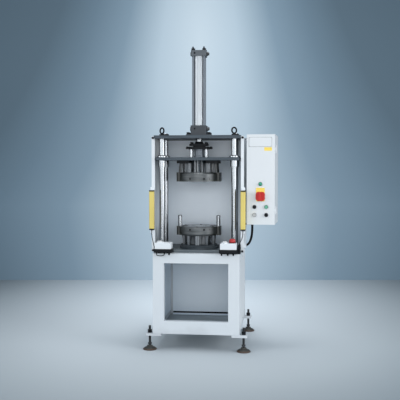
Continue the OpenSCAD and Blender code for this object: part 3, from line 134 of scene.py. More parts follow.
class Graph:
    """Node tree of one material, with short calls for the nodes that the finishes use."""

    def __init__(self, name: str) -> None:
        """Start a material whose patterns read Object coordinates."""
        self.material = bpy.data.materials.new(name)
        self.material.use_nodes = True
        self.tree = self.material.node_tree
        self.shader = self.tree.nodes["Principled BSDF"]
        self.place = self.tree.nodes.new("ShaderNodeTexCoord").outputs["Object"]

    def put(self, socket: Socket, value: Any) -> None:
        """Link an output to a socket, or set a plain value on it.

        Args:
            socket: the input.
            value: an output or a plain value.
        """
        if isinstance(value, Socket):
            self.tree.links.new(value, socket)
        else:
            socket.default_value = value

    def add(self, kind: str, **values: Any) -> bpy.types.Node:
        """Add a node and fill its inputs.

        Args:
            kind: Blender's name of the node type.
            values: inputs by name, with underscores for spaces.

        Returns:
            The new node.
        """
        node = self.tree.nodes.new(kind)
        for key, value in values.items():
            self.put(node.inputs[key.replace("_", " ")], value)
        return node

    def noise(self, scale: float, detail: float, stretch: Point = Grain.EVEN.value) -> Socket:
        """Noise from 0 to 1, with its patches for each metre, its octaves and its stretch along the axes."""
        spot = self.add("ShaderNodeMapping", Vector=self.place, Scale=stretch).outputs["Vector"]
        return self.add("ShaderNodeTexNoise", Vector=spot, Scale=scale, Detail=detail).outputs["Fac"]

    def height(self) -> Socket:
        """Height above the floor in metres."""
        return self.add("ShaderNodeSeparateXYZ", Vector=self.place).outputs["Z"]

    def away(self) -> Socket:
        """Distance to either side of the press axis in metres."""
        across = self.add("ShaderNodeSeparateXYZ", Vector=self.place).outputs["X"]
        return self.math("ABSOLUTE", self.math("SUBTRACT", across, ORIGIN.x))

    def blend(self, share: Any, first: Any, second: Colour) -> Socket:
        """Colour that goes from the first to the second as the share goes from 0 to 1."""
        return self.add("ShaderNodeMixRGB", Fac=share, Color1=first, Color2=(*second, 1.0)).outputs["Color"]

    def math(self, kind: str, *values: Any) -> Socket:
        """Result of a Math node.

        Args:
            kind: Blender's name of the operation.
            values: outputs or plain values.

        Returns:
            The result's output.
        """
        node = self.tree.nodes.new("ShaderNodeMath")
        node.operation = kind
        for socket, value in zip(node.inputs, values):
            self.put(socket, value)
        return node.outputs["Value"]

    def span(self, value: Socket, low: float, high: float, start: float = 0.3, end: float = 0.7) -> Socket:
        """Carry a value's range from start to end over to low to high."""
        node = self.add("ShaderNodeMapRange", Value=value, From_Min=start, From_Max=end, To_Min=low, To_Max=high)
        return node.outputs["Result"]

    def ramp(self, value: Socket, stops: Sequence[tuple[float, Colour]]) -> Socket:
        """Colour ramp.

        Args:
            value: position on the ramp.
            stops: places and colours, in order.

        Returns:
            The colour output.
        """
        node = self.tree.nodes.new("ShaderNodeValToRGB")
        elements = node.color_ramp.elements
        while len(elements) < len(stops):
            elements.new(0.5)
        for element, (spot, colour) in zip(elements, stops):
            element.position = spot
            element.color = (*colour, 1.0)
        self.put(node.inputs["Fac"], value)
        return node.outputs["Color"]

    def relief(self, value: Socket, strength: float, depth: float = 0.0004) -> Socket:
        """Normal from a height of 0 to 1, by a share of the full effect and a real depth in metres."""
        return self.add("ShaderNodeBump", Height=value, Strength=strength, Distance=depth).outputs["Normal"]


@dataclass(frozen=True)
class Finish:
    """Surface with a cloudy tone and a fine grain in its gloss and relief."""

    name: str
    slot: str
    colour: Colour
    deep: Colour
    rough: Pair = (0.40, 0.52)
    metallic: float = 0.0
    grain: Grain = Grain.EVEN
    cloud: float = 3.0
    fine: float = 420.0
    strength: float = 0.06
    coat: float = 0.0
    shine: float = 0.5
    cloud_span: Pair = (0.30, 0.68)

    def material(self) -> bpy.types.Material:
        """Make the finish's material at its first use.

        Returns:
            The material.
        """
        found = bpy.data.materials.get(self.name)
        if found:
            return found
        graph = Graph(self.name)
        self.dress(graph)
        return graph.material

    def tone(self, graph: Graph) -> Socket:
        """Base colour: clouds between the deep and the plain tone."""
        return graph.ramp(graph.noise(self.cloud, 4.0), list(zip(self.cloud_span, (self.deep, self.colour))))

    def dress(self, graph: Graph) -> None:
        """Fill the shader.

        Args:
            graph: the new material.
        """
        grain = graph.noise(self.fine, 2.0, self.grain.value)
        inputs = graph.shader.inputs
        graph.put(inputs["Base Color"], self.tone(graph))
        graph.put(inputs["Roughness"], graph.span(grain, *self.rough))
        graph.put(inputs["Normal"], graph.relief(grain, self.strength))
        inputs["Metallic"].default_value = self.metallic
        inputs["Specular IOR Level"].default_value = self.shine
        inputs["Coat Weight"].default_value = self.coat
        inputs["Coat Roughness"].default_value = COAT_ROUGH


@dataclass(frozen=True)
class WornSteel(Finish):
    """Machined steel with oily and rubbed streaks along its grain."""

    rub: Colour = (0.30, 0.31, 0.32)
    streaks: float = 90.0
    streak_span: tuple[float, float, float] = (0.30, 0.50, 0.72)

    def tone(self, graph: Graph) -> Socket:
        """Streaks from oily through plain to rubbed."""
        marks = graph.noise(self.streaks, 5.0, self.grain.value)
        return graph.ramp(marks, list(zip(self.streak_span, (self.deep, self.colour, self.rub))))


@dataclass(frozen=True)
class FloorCoat(Finish):
    """Powder coat that is a little greyer near the floor."""

    low_tone: Colour = (0.50, 0.53, 0.55)
    dark_below: float = 0.10
    plain_above: float = 0.42
    drift: float = 0.12
    low_tone_fades: float = 0.35

    def tone(self, graph: Graph) -> Socket:
        """Height and clouds together choose between dusty and clean.

        Args:
            graph: the new material.

        Returns:
            The base colour.
        """
        cloud = graph.span(graph.noise(self.cloud, 5.0), -self.drift, self.drift)
        height = graph.math("ADD", graph.height(), cloud)
        return graph.ramp(
            graph.span(height, 0.0, 1.0, self.dark_below, self.plain_above),
            [(0.0, self.low_tone), (self.low_tone_fades, self.deep), (1.0, self.colour)],
        )


@dataclass(frozen=True)
class PanelCoat(FloorCoat):
    """Powder coat of the panels, less glaring on their outer faces than inside the bay."""

    outer: Colour = (0.65, 0.685, 0.715)
    outer_span: Pair = (0.3485, 0.3495)

    def tone(self, graph: Graph) -> Socket:
        """Floor coat, with the outer tone at the faces that lie furthest from the press axis."""
        return graph.blend(graph.span(graph.away(), 0.0, 1.0, *self.outer_span), super().tone(graph), self.outer)


@dataclass(frozen=True)
class EaredSteel(WornSteel):
    """Die steel that is bright in the middle and blackened towards the ears."""

    ear: Colour = (0.014, 0.017, 0.016)
    ear_span: Pair = (0.095, 0.135)

    def tone(self, graph: Graph) -> Socket:
        """Worn steel, mixed with the ears' tone by distance from the press axis."""
        return graph.blend(graph.span(graph.away(), 0.0, 1.0, *self.ear_span), super().tone(graph), self.ear)


@dataclass(frozen=True)
class FootMoulding(Finish):
    """Dark moulding whose low rim is brown rubber."""

    rim: Colour = (0.060, 0.038, 0.028)
    rim_span: Pair = (0.0125, 0.0135)

    def tone(self, graph: Graph) -> Socket:
        """Rubber up to the rim's height, moulding above it."""
        share = graph.span(graph.height(), 0.0, 1.0, *self.rim_span)
        return graph.ramp(share, [(0.0, self.rim), (0.5, self.deep), (1.0, self.colour)])


WHITE = Finish("white_coat", "white_paint", (0.66, 0.705, 0.745), (0.62, 0.665, 0.705), (0.36, 0.46))
FRAME_WHITE = FloorCoat(
    "frame_coat", "white_paint", (0.56, 0.605, 0.645), (0.54, 0.585, 0.625), (0.36, 0.48), low_tone=(0.47, 0.505, 0.54),
)
# Panel coat brightened inside the bay: painted light standing in for the light that the shaded bay lacks.
PANEL_PAINTED_LIGHT_AND_SHADE = PanelCoat(
    "panel_coat_painted_light_and_shade", "white_paint", (0.78, 0.87, 0.95), (0.72, 0.81, 0.89), (0.36, 0.48), low_tone=(0.26, 0.295, 0.315),
    # the bay floor sheet below 0.144 m takes the dark low tone as painted shade under the deck
    dark_below=0.144, plain_above=0.156, drift=0.002,
)
BOX_WHITE = Finish("box_coat", "white_paint", (0.61, 0.645, 0.675), (0.59, 0.625, 0.655), (0.34, 0.44), fine=520.0)
# Sheet tone brightened well above the frame's white: painted light for the back guard and the rear lip, which lie in
# the shade of the plates and the deck.
SHEET_PAINTED_LIGHT = Finish("grey_coat_painted_light", "grey_sheet", (0.80, 0.88, 0.96), (0.75, 0.83, 0.91), (0.38, 0.50))
PLATE = WornSteel(
    "plate_steel", "grey_steel", (0.039, 0.056, 0.073), (0.028, 0.041, 0.055), (0.42, 0.56), 0.1, Grain.ALONG_X,
    fine=160.0, shine=0.4, rub=(0.060, 0.080, 0.10),
)
BED = WornSteel(
    "bed_steel", "grey_steel", (0.088, 0.110, 0.126), (0.060, 0.078, 0.092), (0.36, 0.52), 0.2, Grain.ALONG_X,
    fine=160.0, shine=0.4, rub=(0.14, 0.165, 0.18),
)
CAP = Finish("cap_coat", "grey_steel", (0.040, 0.048, 0.058), (0.031, 0.038, 0.046), (0.46, 0.58), 0.1, shine=0.4)
HEAD = Finish("head_coat", "grey_steel", (0.092, 0.106, 0.122), (0.074, 0.086, 0.10), (0.42, 0.54), 0.1, shine=0.4)
TIE = Finish("tie_steel", "grey_steel", (0.125, 0.147, 0.175), (0.098, 0.116, 0.14), (0.36, 0.48), 0.3, Grain.TURNED)
RING = EaredSteel(
    "ring_steel", "die_steel", (0.072, 0.081, 0.086), (0.043, 0.048, 0.052), (0.30, 0.44), 0.3, Grain.TURNED,
    fine=220.0, rub=(0.128, 0.138, 0.145),
)
POST = EaredSteel(
    "post_steel", "die_steel", (0.125, 0.140, 0.155), (0.078, 0.088, 0.098), (0.28, 0.42), 0.35, Grain.ALONG_Z,
    fine=220.0, rub=(0.19, 0.205, 0.22), ear=(0.020, 0.024, 0.026), ear_span=(0.128, 0.138),
)
PISTON = WornSteel(
    "piston_steel", "die_steel", (0.20, 0.21, 0.22), (0.12, 0.13, 0.135), (0.30, 0.44), 0.6, Grain.TURNED,
)
SHOE = WornSteel(
    "shoe_steel", "die_steel", (0.038, 0.049, 0.058), (0.022, 0.028, 0.034), (0.38, 0.52), 0.1, Grain.TURNED,
    fine=220.0, shine=0.12, rub=(0.06, 0.066, 0.072),
)
OXIDE = Finish("oxide_skin", "black_oxide", (0.012, 0.014, 0.017), (0.007, 0.008, 0.010), (0.38, 0.52), shine=0.08)
STUD = Finish(
    "stud_steel", "bright_steel", (0.060, 0.065, 0.070), (0.034, 0.037, 0.040), (0.32, 0.46), 0.5, fine=300.0,
)
SPRING = Finish("spring_wire", "bright_steel", (0.60, 0.62, 0.64), (0.48, 0.50, 0.52), (0.26, 0.38), 0.35, fine=300.0)
CHROME = Finish(
    "ground_chrome", "chrome", (0.30, 0.32, 0.34), (0.27, 0.29, 0.31), (0.16, 0.22), 0.95, Grain.TURNED,
    fine=700.0, strength=0.025,
)
TUBE = Finish(
    "honed_tube", "chrome", (0.44, 0.475, 0.505), (0.40, 0.43, 0.46), (0.42, 0.52), 0.85, Grain.TURNED,
    fine=520.0, strength=0.04,
)
ZINC = Finish("zinc_plate", "bright_steel", (0.58, 0.60, 0.62), (0.42, 0.44, 0.46), (0.24, 0.40), 0.95, fine=300.0)
BEZEL = Finish("bezel_metal", "bright_steel", (0.20, 0.21, 0.22), (0.13, 0.14, 0.15), (0.26, 0.38), 0.6, fine=500.0)
GALVANISED = Finish(
    "zinc_sheet", "galvanised", (0.56, 0.58, 0.59), (0.40, 0.42, 0.43), (0.34, 0.52), 0.9, cloud=60.0, fine=90.0,
)
BRONZE = Finish("bearing_bronze", "bronze", (0.52, 0.34, 0.15), (0.38, 0.23, 0.10), (0.24, 0.38), 1.0, Grain.TURNED)
BLACK = Finish(
    "black_moulding", "black_plastic", (0.011, 0.013, 0.016), (0.006, 0.007, 0.009), (0.42, 0.58), fine=900.0,
    shine=0.1,
)
RUBBER = Finish(
    "black_rubber", "rubber", (0.009, 0.0095, 0.010), (0.005, 0.0055, 0.006), (0.54, 0.70), fine=700.0, shine=0.1,
)
FOOT = FootMoulding("foot_moulding", "rubber", (0.036, 0.037, 0.034), (0.022, 0.022, 0.020), (0.34, 0.50), fine=600.0)
YELLOW_COAT = Finish(
    "curtain_coat", "curtain_yellow", (0.62, 0.505, 0.125), (0.55, 0.445, 0.105), (0.36, 0.48), coat=0.05,
)
SMOKED = Finish("smoked_window", "black_plastic", (0.020, 0.012, 0.016), (0.012, 0.008, 0.010), (0.06, 0.12), coat=0.5)
GREY_MOULDING = Finish("grey_moulding", "switchgear", (0.24, 0.26, 0.28), (0.19, 0.205, 0.22), (0.42, 0.56), fine=800.0)
GREEN = Finish("green_lens", "green_plastic", (0.010, 0.29, 0.17), (0.006, 0.20, 0.11), (0.12, 0.22), coat=0.4)
YELLOW = Finish("yellow_plate", "yellow_plastic", (0.80, 0.60, 0.06), (0.72, 0.53, 0.05), (0.30, 0.40), coat=0.2)
RED = Finish("red_moulding", "red_plastic", (0.52, 0.010, 0.009), (0.44, 0.008, 0.007), (0.34, 0.46), shine=0.3)
STOP_RED = Finish("stop_moulding", "red_plastic", (0.40, 0.026, 0.026), (0.32, 0.018, 0.018), (0.36, 0.48), shine=0.35)
CLEAR = Finish("clear_cap", "pale_plastic", (0.36, 0.375, 0.38), (0.29, 0.30, 0.305), (0.24, 0.36), coat=0.2)
PALE = Finish("pale_moulding", "pale_plastic", (0.66, 0.68, 0.69), (0.59, 0.61, 0.62), (0.34, 0.48), fine=800.0)
BARE_PLATE = Finish(
    "bare_plate", "galvanised", (0.58, 0.615, 0.645), (0.54, 0.575, 0.605), (0.34, 0.44), 0.1, Grain.ALONG_X,
    fine=260.0,
)


class Shape:
    """Mesh of one new piece, modelled with bmesh operators in millimetres."""

    def __init__(self) -> None:
        """Start with no geometry."""
        self.bm = bmesh.new()

    def _add(self, part: bmesh.types.BMesh, where: Matrix) -> None:
        """Close a part, turn its faces outwards and take it over.

        Args:
            part: geometry in millimetres, freed by this call.
            where: matrix from the part's millimetres to the row frame.
        """
        bmesh.ops.remove_doubles(part, verts=part.verts, dist=1e-4)
        bmesh.ops.recalc_face_normals(part, faces=part.faces)
        bmesh.ops.transform(part, matrix=where, verts=part.verts)
        mesh = bpy.data.meshes.new("part")
        part.to_mesh(mesh)
        part.free()
        self.bm.from_mesh(mesh)
        bpy.data.meshes.remove(mesh)

    @staticmethod
    def round_edges(part: bmesh.types.BMesh, edges: list[bmesh.types.BMEdge], by: float, segments: int = 2) -> None:
        """Round some edges of a part.

        Args:
            part: the geometry.
            edges: its edges to round.
            by: radius.
            segments: facets of the rounding.
        """
        bmesh.ops.bevel(
            part, geom=edges, offset=by, offset_type="OFFSET", segments=segments, profile=0.5,
            affect="EDGES", clamp_overlap=True, material=-1,
        )

    def block(self, low: Point, high: Point, where: Matrix, edge: float = 0.8) -> None:
        """Box with rounded edges.

        Args:
            low, high: opposite corners.
            where: place of the box's own frame.
            edge: radius of the edges.
        """
        part = bmesh.new()
        size, middle = Vector(high) - Vector(low), (Vector(high) + Vector(low)) / 2
        bmesh.ops.create_cube(part, size=1.0, matrix=Matrix.Translation(middle) @ Matrix.Diagonal((*size, 1.0)))
        self.round_edges(part, part.edges[:], edge)
        self._add(part, where)

    def plate(self, w: float, h: float, t: float, corner: float, edge: float, where: Matrix) -> None:
        """Thin plate with round corners, lying on its place and rising along z.

        Args:
            w, h: width along x and height along y.
            t: thickness.
            corner: radius of the corners.
            edge: radius of the upper rim.
            where: place of the middle of its underside.
        """
        part = bmesh.new()
        box = Matrix.Translation((0, 0, t / 2)) @ Matrix.Diagonal((w, h, t, 1.0))
        bmesh.ops.create_cube(part, size=1.0, matrix=box)
        upright = [e for e in part.edges if abs(e.verts[0].co.z - e.verts[1].co.z) > t / 2]
        self.round_edges(part, upright, corner, 6)
        rim = [e for e in part.edges if min(v.co.z for v in e.verts) > t - 1e-4]
        self.round_edges(part, rim, edge)
        self._add(part, where)

    def turned(self, profile: Profile, steps: int, where: Matrix) -> None:
        """Body of revolution about z.

        Args:
            profile: radii and heights; an open ring closes on itself when its ends meet.
            steps: facets round the axis.
            where: place of the body's own frame.
        """
        part = bmesh.new()
        points = [part.verts.new((r, 0.0, z)) for r, z in profile]
        chain = [part.edges.new(pair) for pair in zip(points, points[1:])]
        bmesh.ops.spin(
            part, geom=points + chain, cent=(0, 0, 0), axis=(0, 0, 1), angle=2 * math.pi, steps=steps,
            use_merge=True, use_duplicate=False,
        )
        self._add(part, where)

    def threaded(self, r: float, z0: float, z1: float, pitch: float, where: Matrix, steps: int = 20) -> None:
        """Rod with a ridged thread between two heights.

        Args:
            r: outside radius.
            z0, z1: ends.
            pitch: height of one ridge.
            where: place of the rod's own frame.
            steps: facets round the axis.
        """
        root = r - THREAD_DEPTH * pitch
        count = int((z1 - z0) / pitch)
        profile = [(0.0, z0), (root, z0)]
        for i in range(count):
            profile += [(r, z0 + (i + 0.5) * pitch), (root, z0 + (i + 1.0) * pitch)]
        self.turned([*profile, (root, z1), (0.0, z1)], steps, where)

    def hexagon(self, across: float, h: float, where: Matrix, edge: float = 0.8) -> None:
        """Hexagonal prism that rises along z.

        Args:
            across: width across the flats.
            h: height.
            where: place of the middle of its foot.
            edge: radius of its edges.
        """
        part = bmesh.new()
        bmesh.ops.create_circle(part, cap_ends=True, segments=6, radius=across / math.sqrt(3))
        up = bmesh.ops.extrude_face_region(part, geom=part.faces[:])
        verts = [g for g in up["geom"] if isinstance(g, bmesh.types.BMVert)]
        bmesh.ops.translate(part, vec=(0, 0, h), verts=verts)
        self.round_edges(part, part.edges[:], edge)
        self._add(part, where)

    def socket_head(self, d: float, h: float, where: Matrix) -> None:
        """Head of a cap screw with its hexagon socket.

        Args:
            d: diameter of the head.
            h: height of the head.
            where: place of the middle of its seat.
        """
        part = bmesh.new()
        bevel, socket_r, socket_h = 0.04 * d, 0.29 * d, 0.55 * h
        wall = bmesh.ops.create_circle(part, segments=24, radius=d / 2)["verts"]
        ring = list({e for v in wall for e in v.link_edges})
        for dr, z in [(0.0, h * 0.88), (-bevel, h)]:
            made = bmesh.ops.extrude_edge_only(part, edges=ring)["geom"]
            ring = [g for g in made if isinstance(g, bmesh.types.BMEdge)]
            verts = [g for g in made if isinstance(g, bmesh.types.BMVert)]
            for vert in verts:
                vert.co = Vector((vert.co.x, vert.co.y, 0)).normalized() * (d / 2 + dr) + Vector((0, 0, z))
        hexagon = bmesh.ops.create_circle(part, segments=6, radius=socket_r)["verts"]
        bmesh.ops.translate(part, vec=(0, 0, h), verts=hexagon)
        sides = list({e for v in hexagon for e in v.link_edges})
        bmesh.ops.bridge_loops(part, edges=ring + sides)
        deep = bmesh.ops.extrude_edge_only(part, edges=sides)["geom"]
        bmesh.ops.translate(part, vec=(0, 0, -socket_h), verts=[g for g in deep if isinstance(g, bmesh.types.BMVert)])
        bmesh.ops.contextual_create(part, geom=[g for g in deep if isinstance(g, bmesh.types.BMEdge)])
        self._add(part, where)

    def pan_head(self, d: float, h: float, where: Matrix) -> None:
        """Low round head of a panel screw or rivet."""
        self.turned([(d / 2 * across, h * up) for across, up in PAN_OUTLINE], 14, where)

    def join(self, name: str, finish: Finish, body: str, *nodes: str, smooth: float = SMOOTH) -> None:
        """Make the piece and fix it to a body.

        Args:
            name: name of the piece.
            finish: its surface.
            body: body that carries it.
            nodes: solids that it stands for.
            smooth: largest angle in degrees that is shaded smooth.
        """
        mesh = bpy.data.meshes.new(name)
        self.bm.to_mesh(mesh)
        self.bm.free()
        mesh.shade_smooth()
        mesh.set_sharp_from_angle(angle=math.radians(smooth))
        piece = bpy.data.objects.new(name, mesh)
        piece.modifiers.new("flat_faces", "WEIGHTED_NORMAL").keep_sharp = True
        mount(piece, finish, body, *nodes)


def mount(piece: bpy.types.Object, finish: Finish, body: str, *nodes: str) -> None:
    """Put a piece in the scene with its finish, its body and the solids it stands for.

    Args:
        piece: the new object.
        finish: its surface.
        body: body that carries it.
        nodes: solids that it stands for.
    """
    bpy.context.scene.collection.objects.link(piece)
    piece.data.materials.append(finish.material())
    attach(piece, body)
    if nodes:
        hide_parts(*nodes)
    LOG.info("%s on %s, %s", piece.name, body, finish.name)


def keep(finish: Finish, *nodes: str) -> None:
    """Dress solids that have their real shape already.

    Args:
        finish: their surface.
        nodes: names of the solids.
    """
    for node in nodes:
        materials = frame["nodes"][node].data.materials
        materials.clear()
        materials.append(finish.material())
        LOG.info("%s dressed, %s", node, finish.name)


def soften(node: str, finish: Finish, edge: float, segments: int = 2) -> None:
    """Stand-in for a solid with the small edge radii of the real piece.

    Args:
        node: name of the solid.
        finish: its surface.
        edge: edge radius.
        segments: facets of the rounding.
    """
    source = frame["nodes"][node]
    shape = Shape()
    bm = shape.bm
    bm.from_mesh(source.data)
    bmesh.ops.remove_doubles(bm, verts=bm.verts, dist=1e-6)
    bmesh.ops.dissolve_limit(bm, angle_limit=FLAT, verts=bm.verts, edges=bm.edges)
    sharp = [e for e in bm.edges if len(e.link_faces) == 2 and e.calc_face_angle(0.0) > SHARP]
    shape.round_edges(bm, sharp, edge * MM, segments)
    shape.join(f"{node}_soft", finish, source["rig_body"], node)


def curve_point(a: Vector, b: Vector, c: Vector, d: Vector, t: float) -> Vector:
    """Point on the smooth curve between b and c, with neighbours a and d, at share t."""
    return 0.5 * (2 * b + (c - a) * t + (2 * a - 5 * b + 4 * c - d) * t ** 2 + (3 * b - a - 3 * c + d) * t ** 3)


def pairs(x: float, others: Sequence[float]) -> list[Pair]:
    """Places at minus x and then at plus x, each with every one of the other coordinates."""
    return [(side, other) for side in (-x, x) for other in others]


def circle(r: float, count: int, start: float) -> list[Pair]:
    """Places spread evenly on a circle, the first at an angle in degrees."""
    angles = [math.radians(start + i * 360 / count) for i in range(count)]
    return [(r * math.cos(a), r * math.sin(a)) for a in angles]


def shifted(profile: Profile, r: float, z: float) -> Profile:
    """Outline with its radii and heights moved by r and z."""
    return [(r + dr, z + dz) for dr, dz in profile]


def cluster(
    name: str, finish: Finish, body: str, spots: Sequence[Matrix], kind: Callable, *sizes: Any, smooth: float = SMOOTH
) -> None:
    """Piece made of like parts at several places.

    Args:
        name, finish, body: the piece's name, its surface and the body that carries it.
        spots: places of the parts.
        kind: call of Shape that adds one part.
        sizes: what that call takes before the place.
        smooth: largest angle in degrees that is shaded smooth.
    """
    shape = Shape()
    for spot in spots:
        kind(shape, *sizes, spot)
    shape.join(name, finish, body, smooth=smooth)


def wire(name: str, diameter: float, lines: Sequence[Sequence[Vector]], facets: int) -> bpy.types.Object:
    """Round wire along some lines.

    Args:
        name: name of the piece.
        diameter: thickness of the wire.
        lines: row-frame points of each length of wire.
        facets: resolution of the round section.

    Returns:
        The new curve, not yet in the scene.
    """
    curve = bpy.data.curves.new(name, "CURVE")
    curve.dimensions = "3D"
    curve.bevel_depth = diameter * MM / 2
    curve.bevel_resolution = facets
    curve.use_fill_caps = True
    for line in lines:
        spline = curve.splines.new("POLY")
        spline.points.add(len(line) - 1)
        for point, spot in zip(spline.points, line):
            point.co = (*spot, 1.0)
        spline.use_smooth = True
    return bpy.data.objects.new(name, curve)


@dataclass
class Cord:
    """Round cable or hose between two places on the press."""

    name: str
    start: Point
    end: Point
    shape: Sequence[Point]
    diameter: float
    steps: int = 6

    def route(self) -> list[Vector]:
        """Smooth line through the shape's points.

        Returns:
            Its row-frame points.
        """
        knots = [
            at(*(a + (b - a) * share for a, b, share in zip(self.start, self.end, shares))) for shares in self.shape
        ]
        last = len(knots) - 1
        line = []
        for i in range(last):
            ring = [knots[max(i - 1, 0)], knots[i], knots[i + 1], knots[min(i + 2, last)]]
            line += [curve_point(*ring, j / self.steps) for j in range(self.steps)]
        return [*line, knots[last]]

    def build(self, finish: Finish, *nodes: str) -> None:
        """Args:
            finish: its surface.
            nodes: solids that it stands for.
        """
        line = self.route()
        piece = wire(self.name, self.diameter, [line], 4)
        mount(piece, finish, ROOT, *nodes)


@dataclass
class WeldedBase:
    """White welded base on four levelling feet."""

    half_w: float = 350.0
    stud_x: float = 382.0
    stud_y: Pair = (40.0, 815.0)
    stud_d: float = 20.0
    stud_pitch: float = 2.5
    stud_ends: Pair = (16.0, 196.0)
    flats: Pair = (30.0, 14.0)
    flats_z: float = 44.0
    screw_head: Pair = (11.0, 3.0)
    screw_y: tuple[float, ...] = (80.0, 428.0, 776.0)
    screw_z: Pair = (200.0, 728.0)
    lip_half: float = 308.0
    lip_y: float = 806.0
    # The seal is a dark strip that paints shade in the gap under the back panel; the hem and the angle strip carry
    # brightened coats that paint light in the shaded rear of the bay.
    lip_pieces: tuple[tuple[str, Finish, float, tuple[tuple[Pair, Pair], ...]], ...] = (
        ("gap_shade_seal", RUBBER, 1.0, (((2.0, 9.0), (152.1, 167.5)),)),
        ("panel_hem", PANEL_PAINTED_LIGHT_AND_SHADE, 0.8, (((0.2, 9.0), (167.6, 173.9)),)),
        ("lip_strip_painted_light", SHEET_PAINTED_LIGHT, 0.4, (((-1.6, -0.1), (143.2, 151.8)), ((-40.0, -1.5), (143.2, 144.7)))),
    )
    lug_top: float = 138.0
    lug_w: float = 70.0
    bead_r: Pair = (3.0, 4.0)
    ripples: int = 18

    def build(self) -> None:
        """Dress the base and add its small parts."""
        soften("base_frame", FRAME_WHITE, 4.0, 3)
        soften("base_panels", PANEL_PAINTED_LIGHT_AND_SHADE, 1.2)
        keep(WHITE, "base_deck")
        soften("foot_pads", FOOT, 0.8)
        self.studs()
        self.panel_screws()
        self.lip()
        self.weld_seams()

    def studs(self) -> None:
        """Threaded levelling studs with their spanner flats."""
        shape = Shape()
        for x, y in pairs(self.stud_x, self.stud_y):
            shape.threaded(self.stud_d / 2, *self.stud_ends, self.stud_pitch, place(x, y, 0))
            shape.hexagon(*self.flats, place(x, y, self.flats_z))
        shape.join("threaded_studs", STUD, ROOT, "foot_studs")

    def panel_screws(self) -> None:
        """Round heads that hold the side panels."""
        spots = [
            place(x, y, z, facing) for x, facing in ((-self.half_w, Facing.LEFT), (self.half_w, Facing.RIGHT))
            for y in self.screw_y for z in self.screw_z
        ]
        cluster("panel_screws", ZINC, ROOT, spots, Shape.pan_head, *self.screw_head)

    def lip(self) -> None:
        """Seal and hem under the back panel and the angle strip at the rear lip, as bars from side to side."""
        for name, finish, edge, bars in self.lip_pieces:
            shape = Shape()
            for (front, rear), (low, high) in bars:
                start = (-self.lip_half, self.lip_y + front, low)
                shape.block(start, (self.lip_half, self.lip_y + rear, high), place(0, 0, 0), edge)
            shape.join(name, finish, ROOT)

    def weld_seams(self) -> None:
        """Rippled weld beads between the foot lugs and the base."""
        low, high = self.bead_r
        step = self.lug_w / self.ripples
        profile = [(0.0, 0.0)]
        for i in range(self.ripples):
            profile += [(low, (i + 0.1) * step), (high, (i + 0.55) * step)]
        profile += [(low, self.lug_w), (0.0, self.lug_w)]
        spots = [place(x, y - self.lug_w / 2, self.lug_top, Facing.BACK) for x, y in pairs(self.half_w, self.stud_y)]
        cluster("lug_welds", FRAME_WHITE, ROOT, spots, Shape.turned, profile, 12, smooth=60.0)


@dataclass
class PressFrame:
    """Base plate, top plate, guide columns and lifting eyes."""

    bed: float = 815.0
    screw_x: float = 330.0
    screw_y: tuple[float, ...] = (90.0, 262.0, 490.0)
    screw_head: Pair = (24.0, 5.0)

    def build(self) -> None:
        """Dress the plates and columns and add the plate screws."""
        soften("base_plate", BED, 1.0)
        soften("top_plate", PLATE, 1.0)
        keep(CHROME, "guide_columns")
        soften("frame_fasteners", OXIDE, 0.8)
        soften("eye_bolts", OXIDE, 1.0)
        spots = [place(x, y, self.bed) for x, y in pairs(self.screw_x, self.screw_y)]
        cluster("plate_screws", OXIDE, ROOT, spots, Shape.socket_head, *self.screw_head)


@dataclass
class Guards:
    """Folded side guards and the back guard."""

    back_face: float = 523.0
    rivet_head: Pair = (10.0, 3.0)
    rivet_x: float = 362.0
    rivet_z: tuple[float, ...] = (850.0, 1018.0, 1186.0, 1354.0, 1522.0, 1690.0)

    def build(self) -> None:
        """Dress the guard sheets and add the rivets on the rear."""
        soften("guard_left", WHITE, 0.9)
        soften("guard_right", WHITE, 0.9)
        soften("back_guard", SHEET_PAINTED_LIGHT, 0.9)
        soften("guard_knobs", BLACK, 0.6)
        spots = [place(x, self.back_face, z, Facing.BACK) for x, z in pairs(self.rivet_x, self.rivet_z)]
        cluster("guard_rivets", ZINC, ROOT, spots, Shape.pan_head, *self.rivet_head)


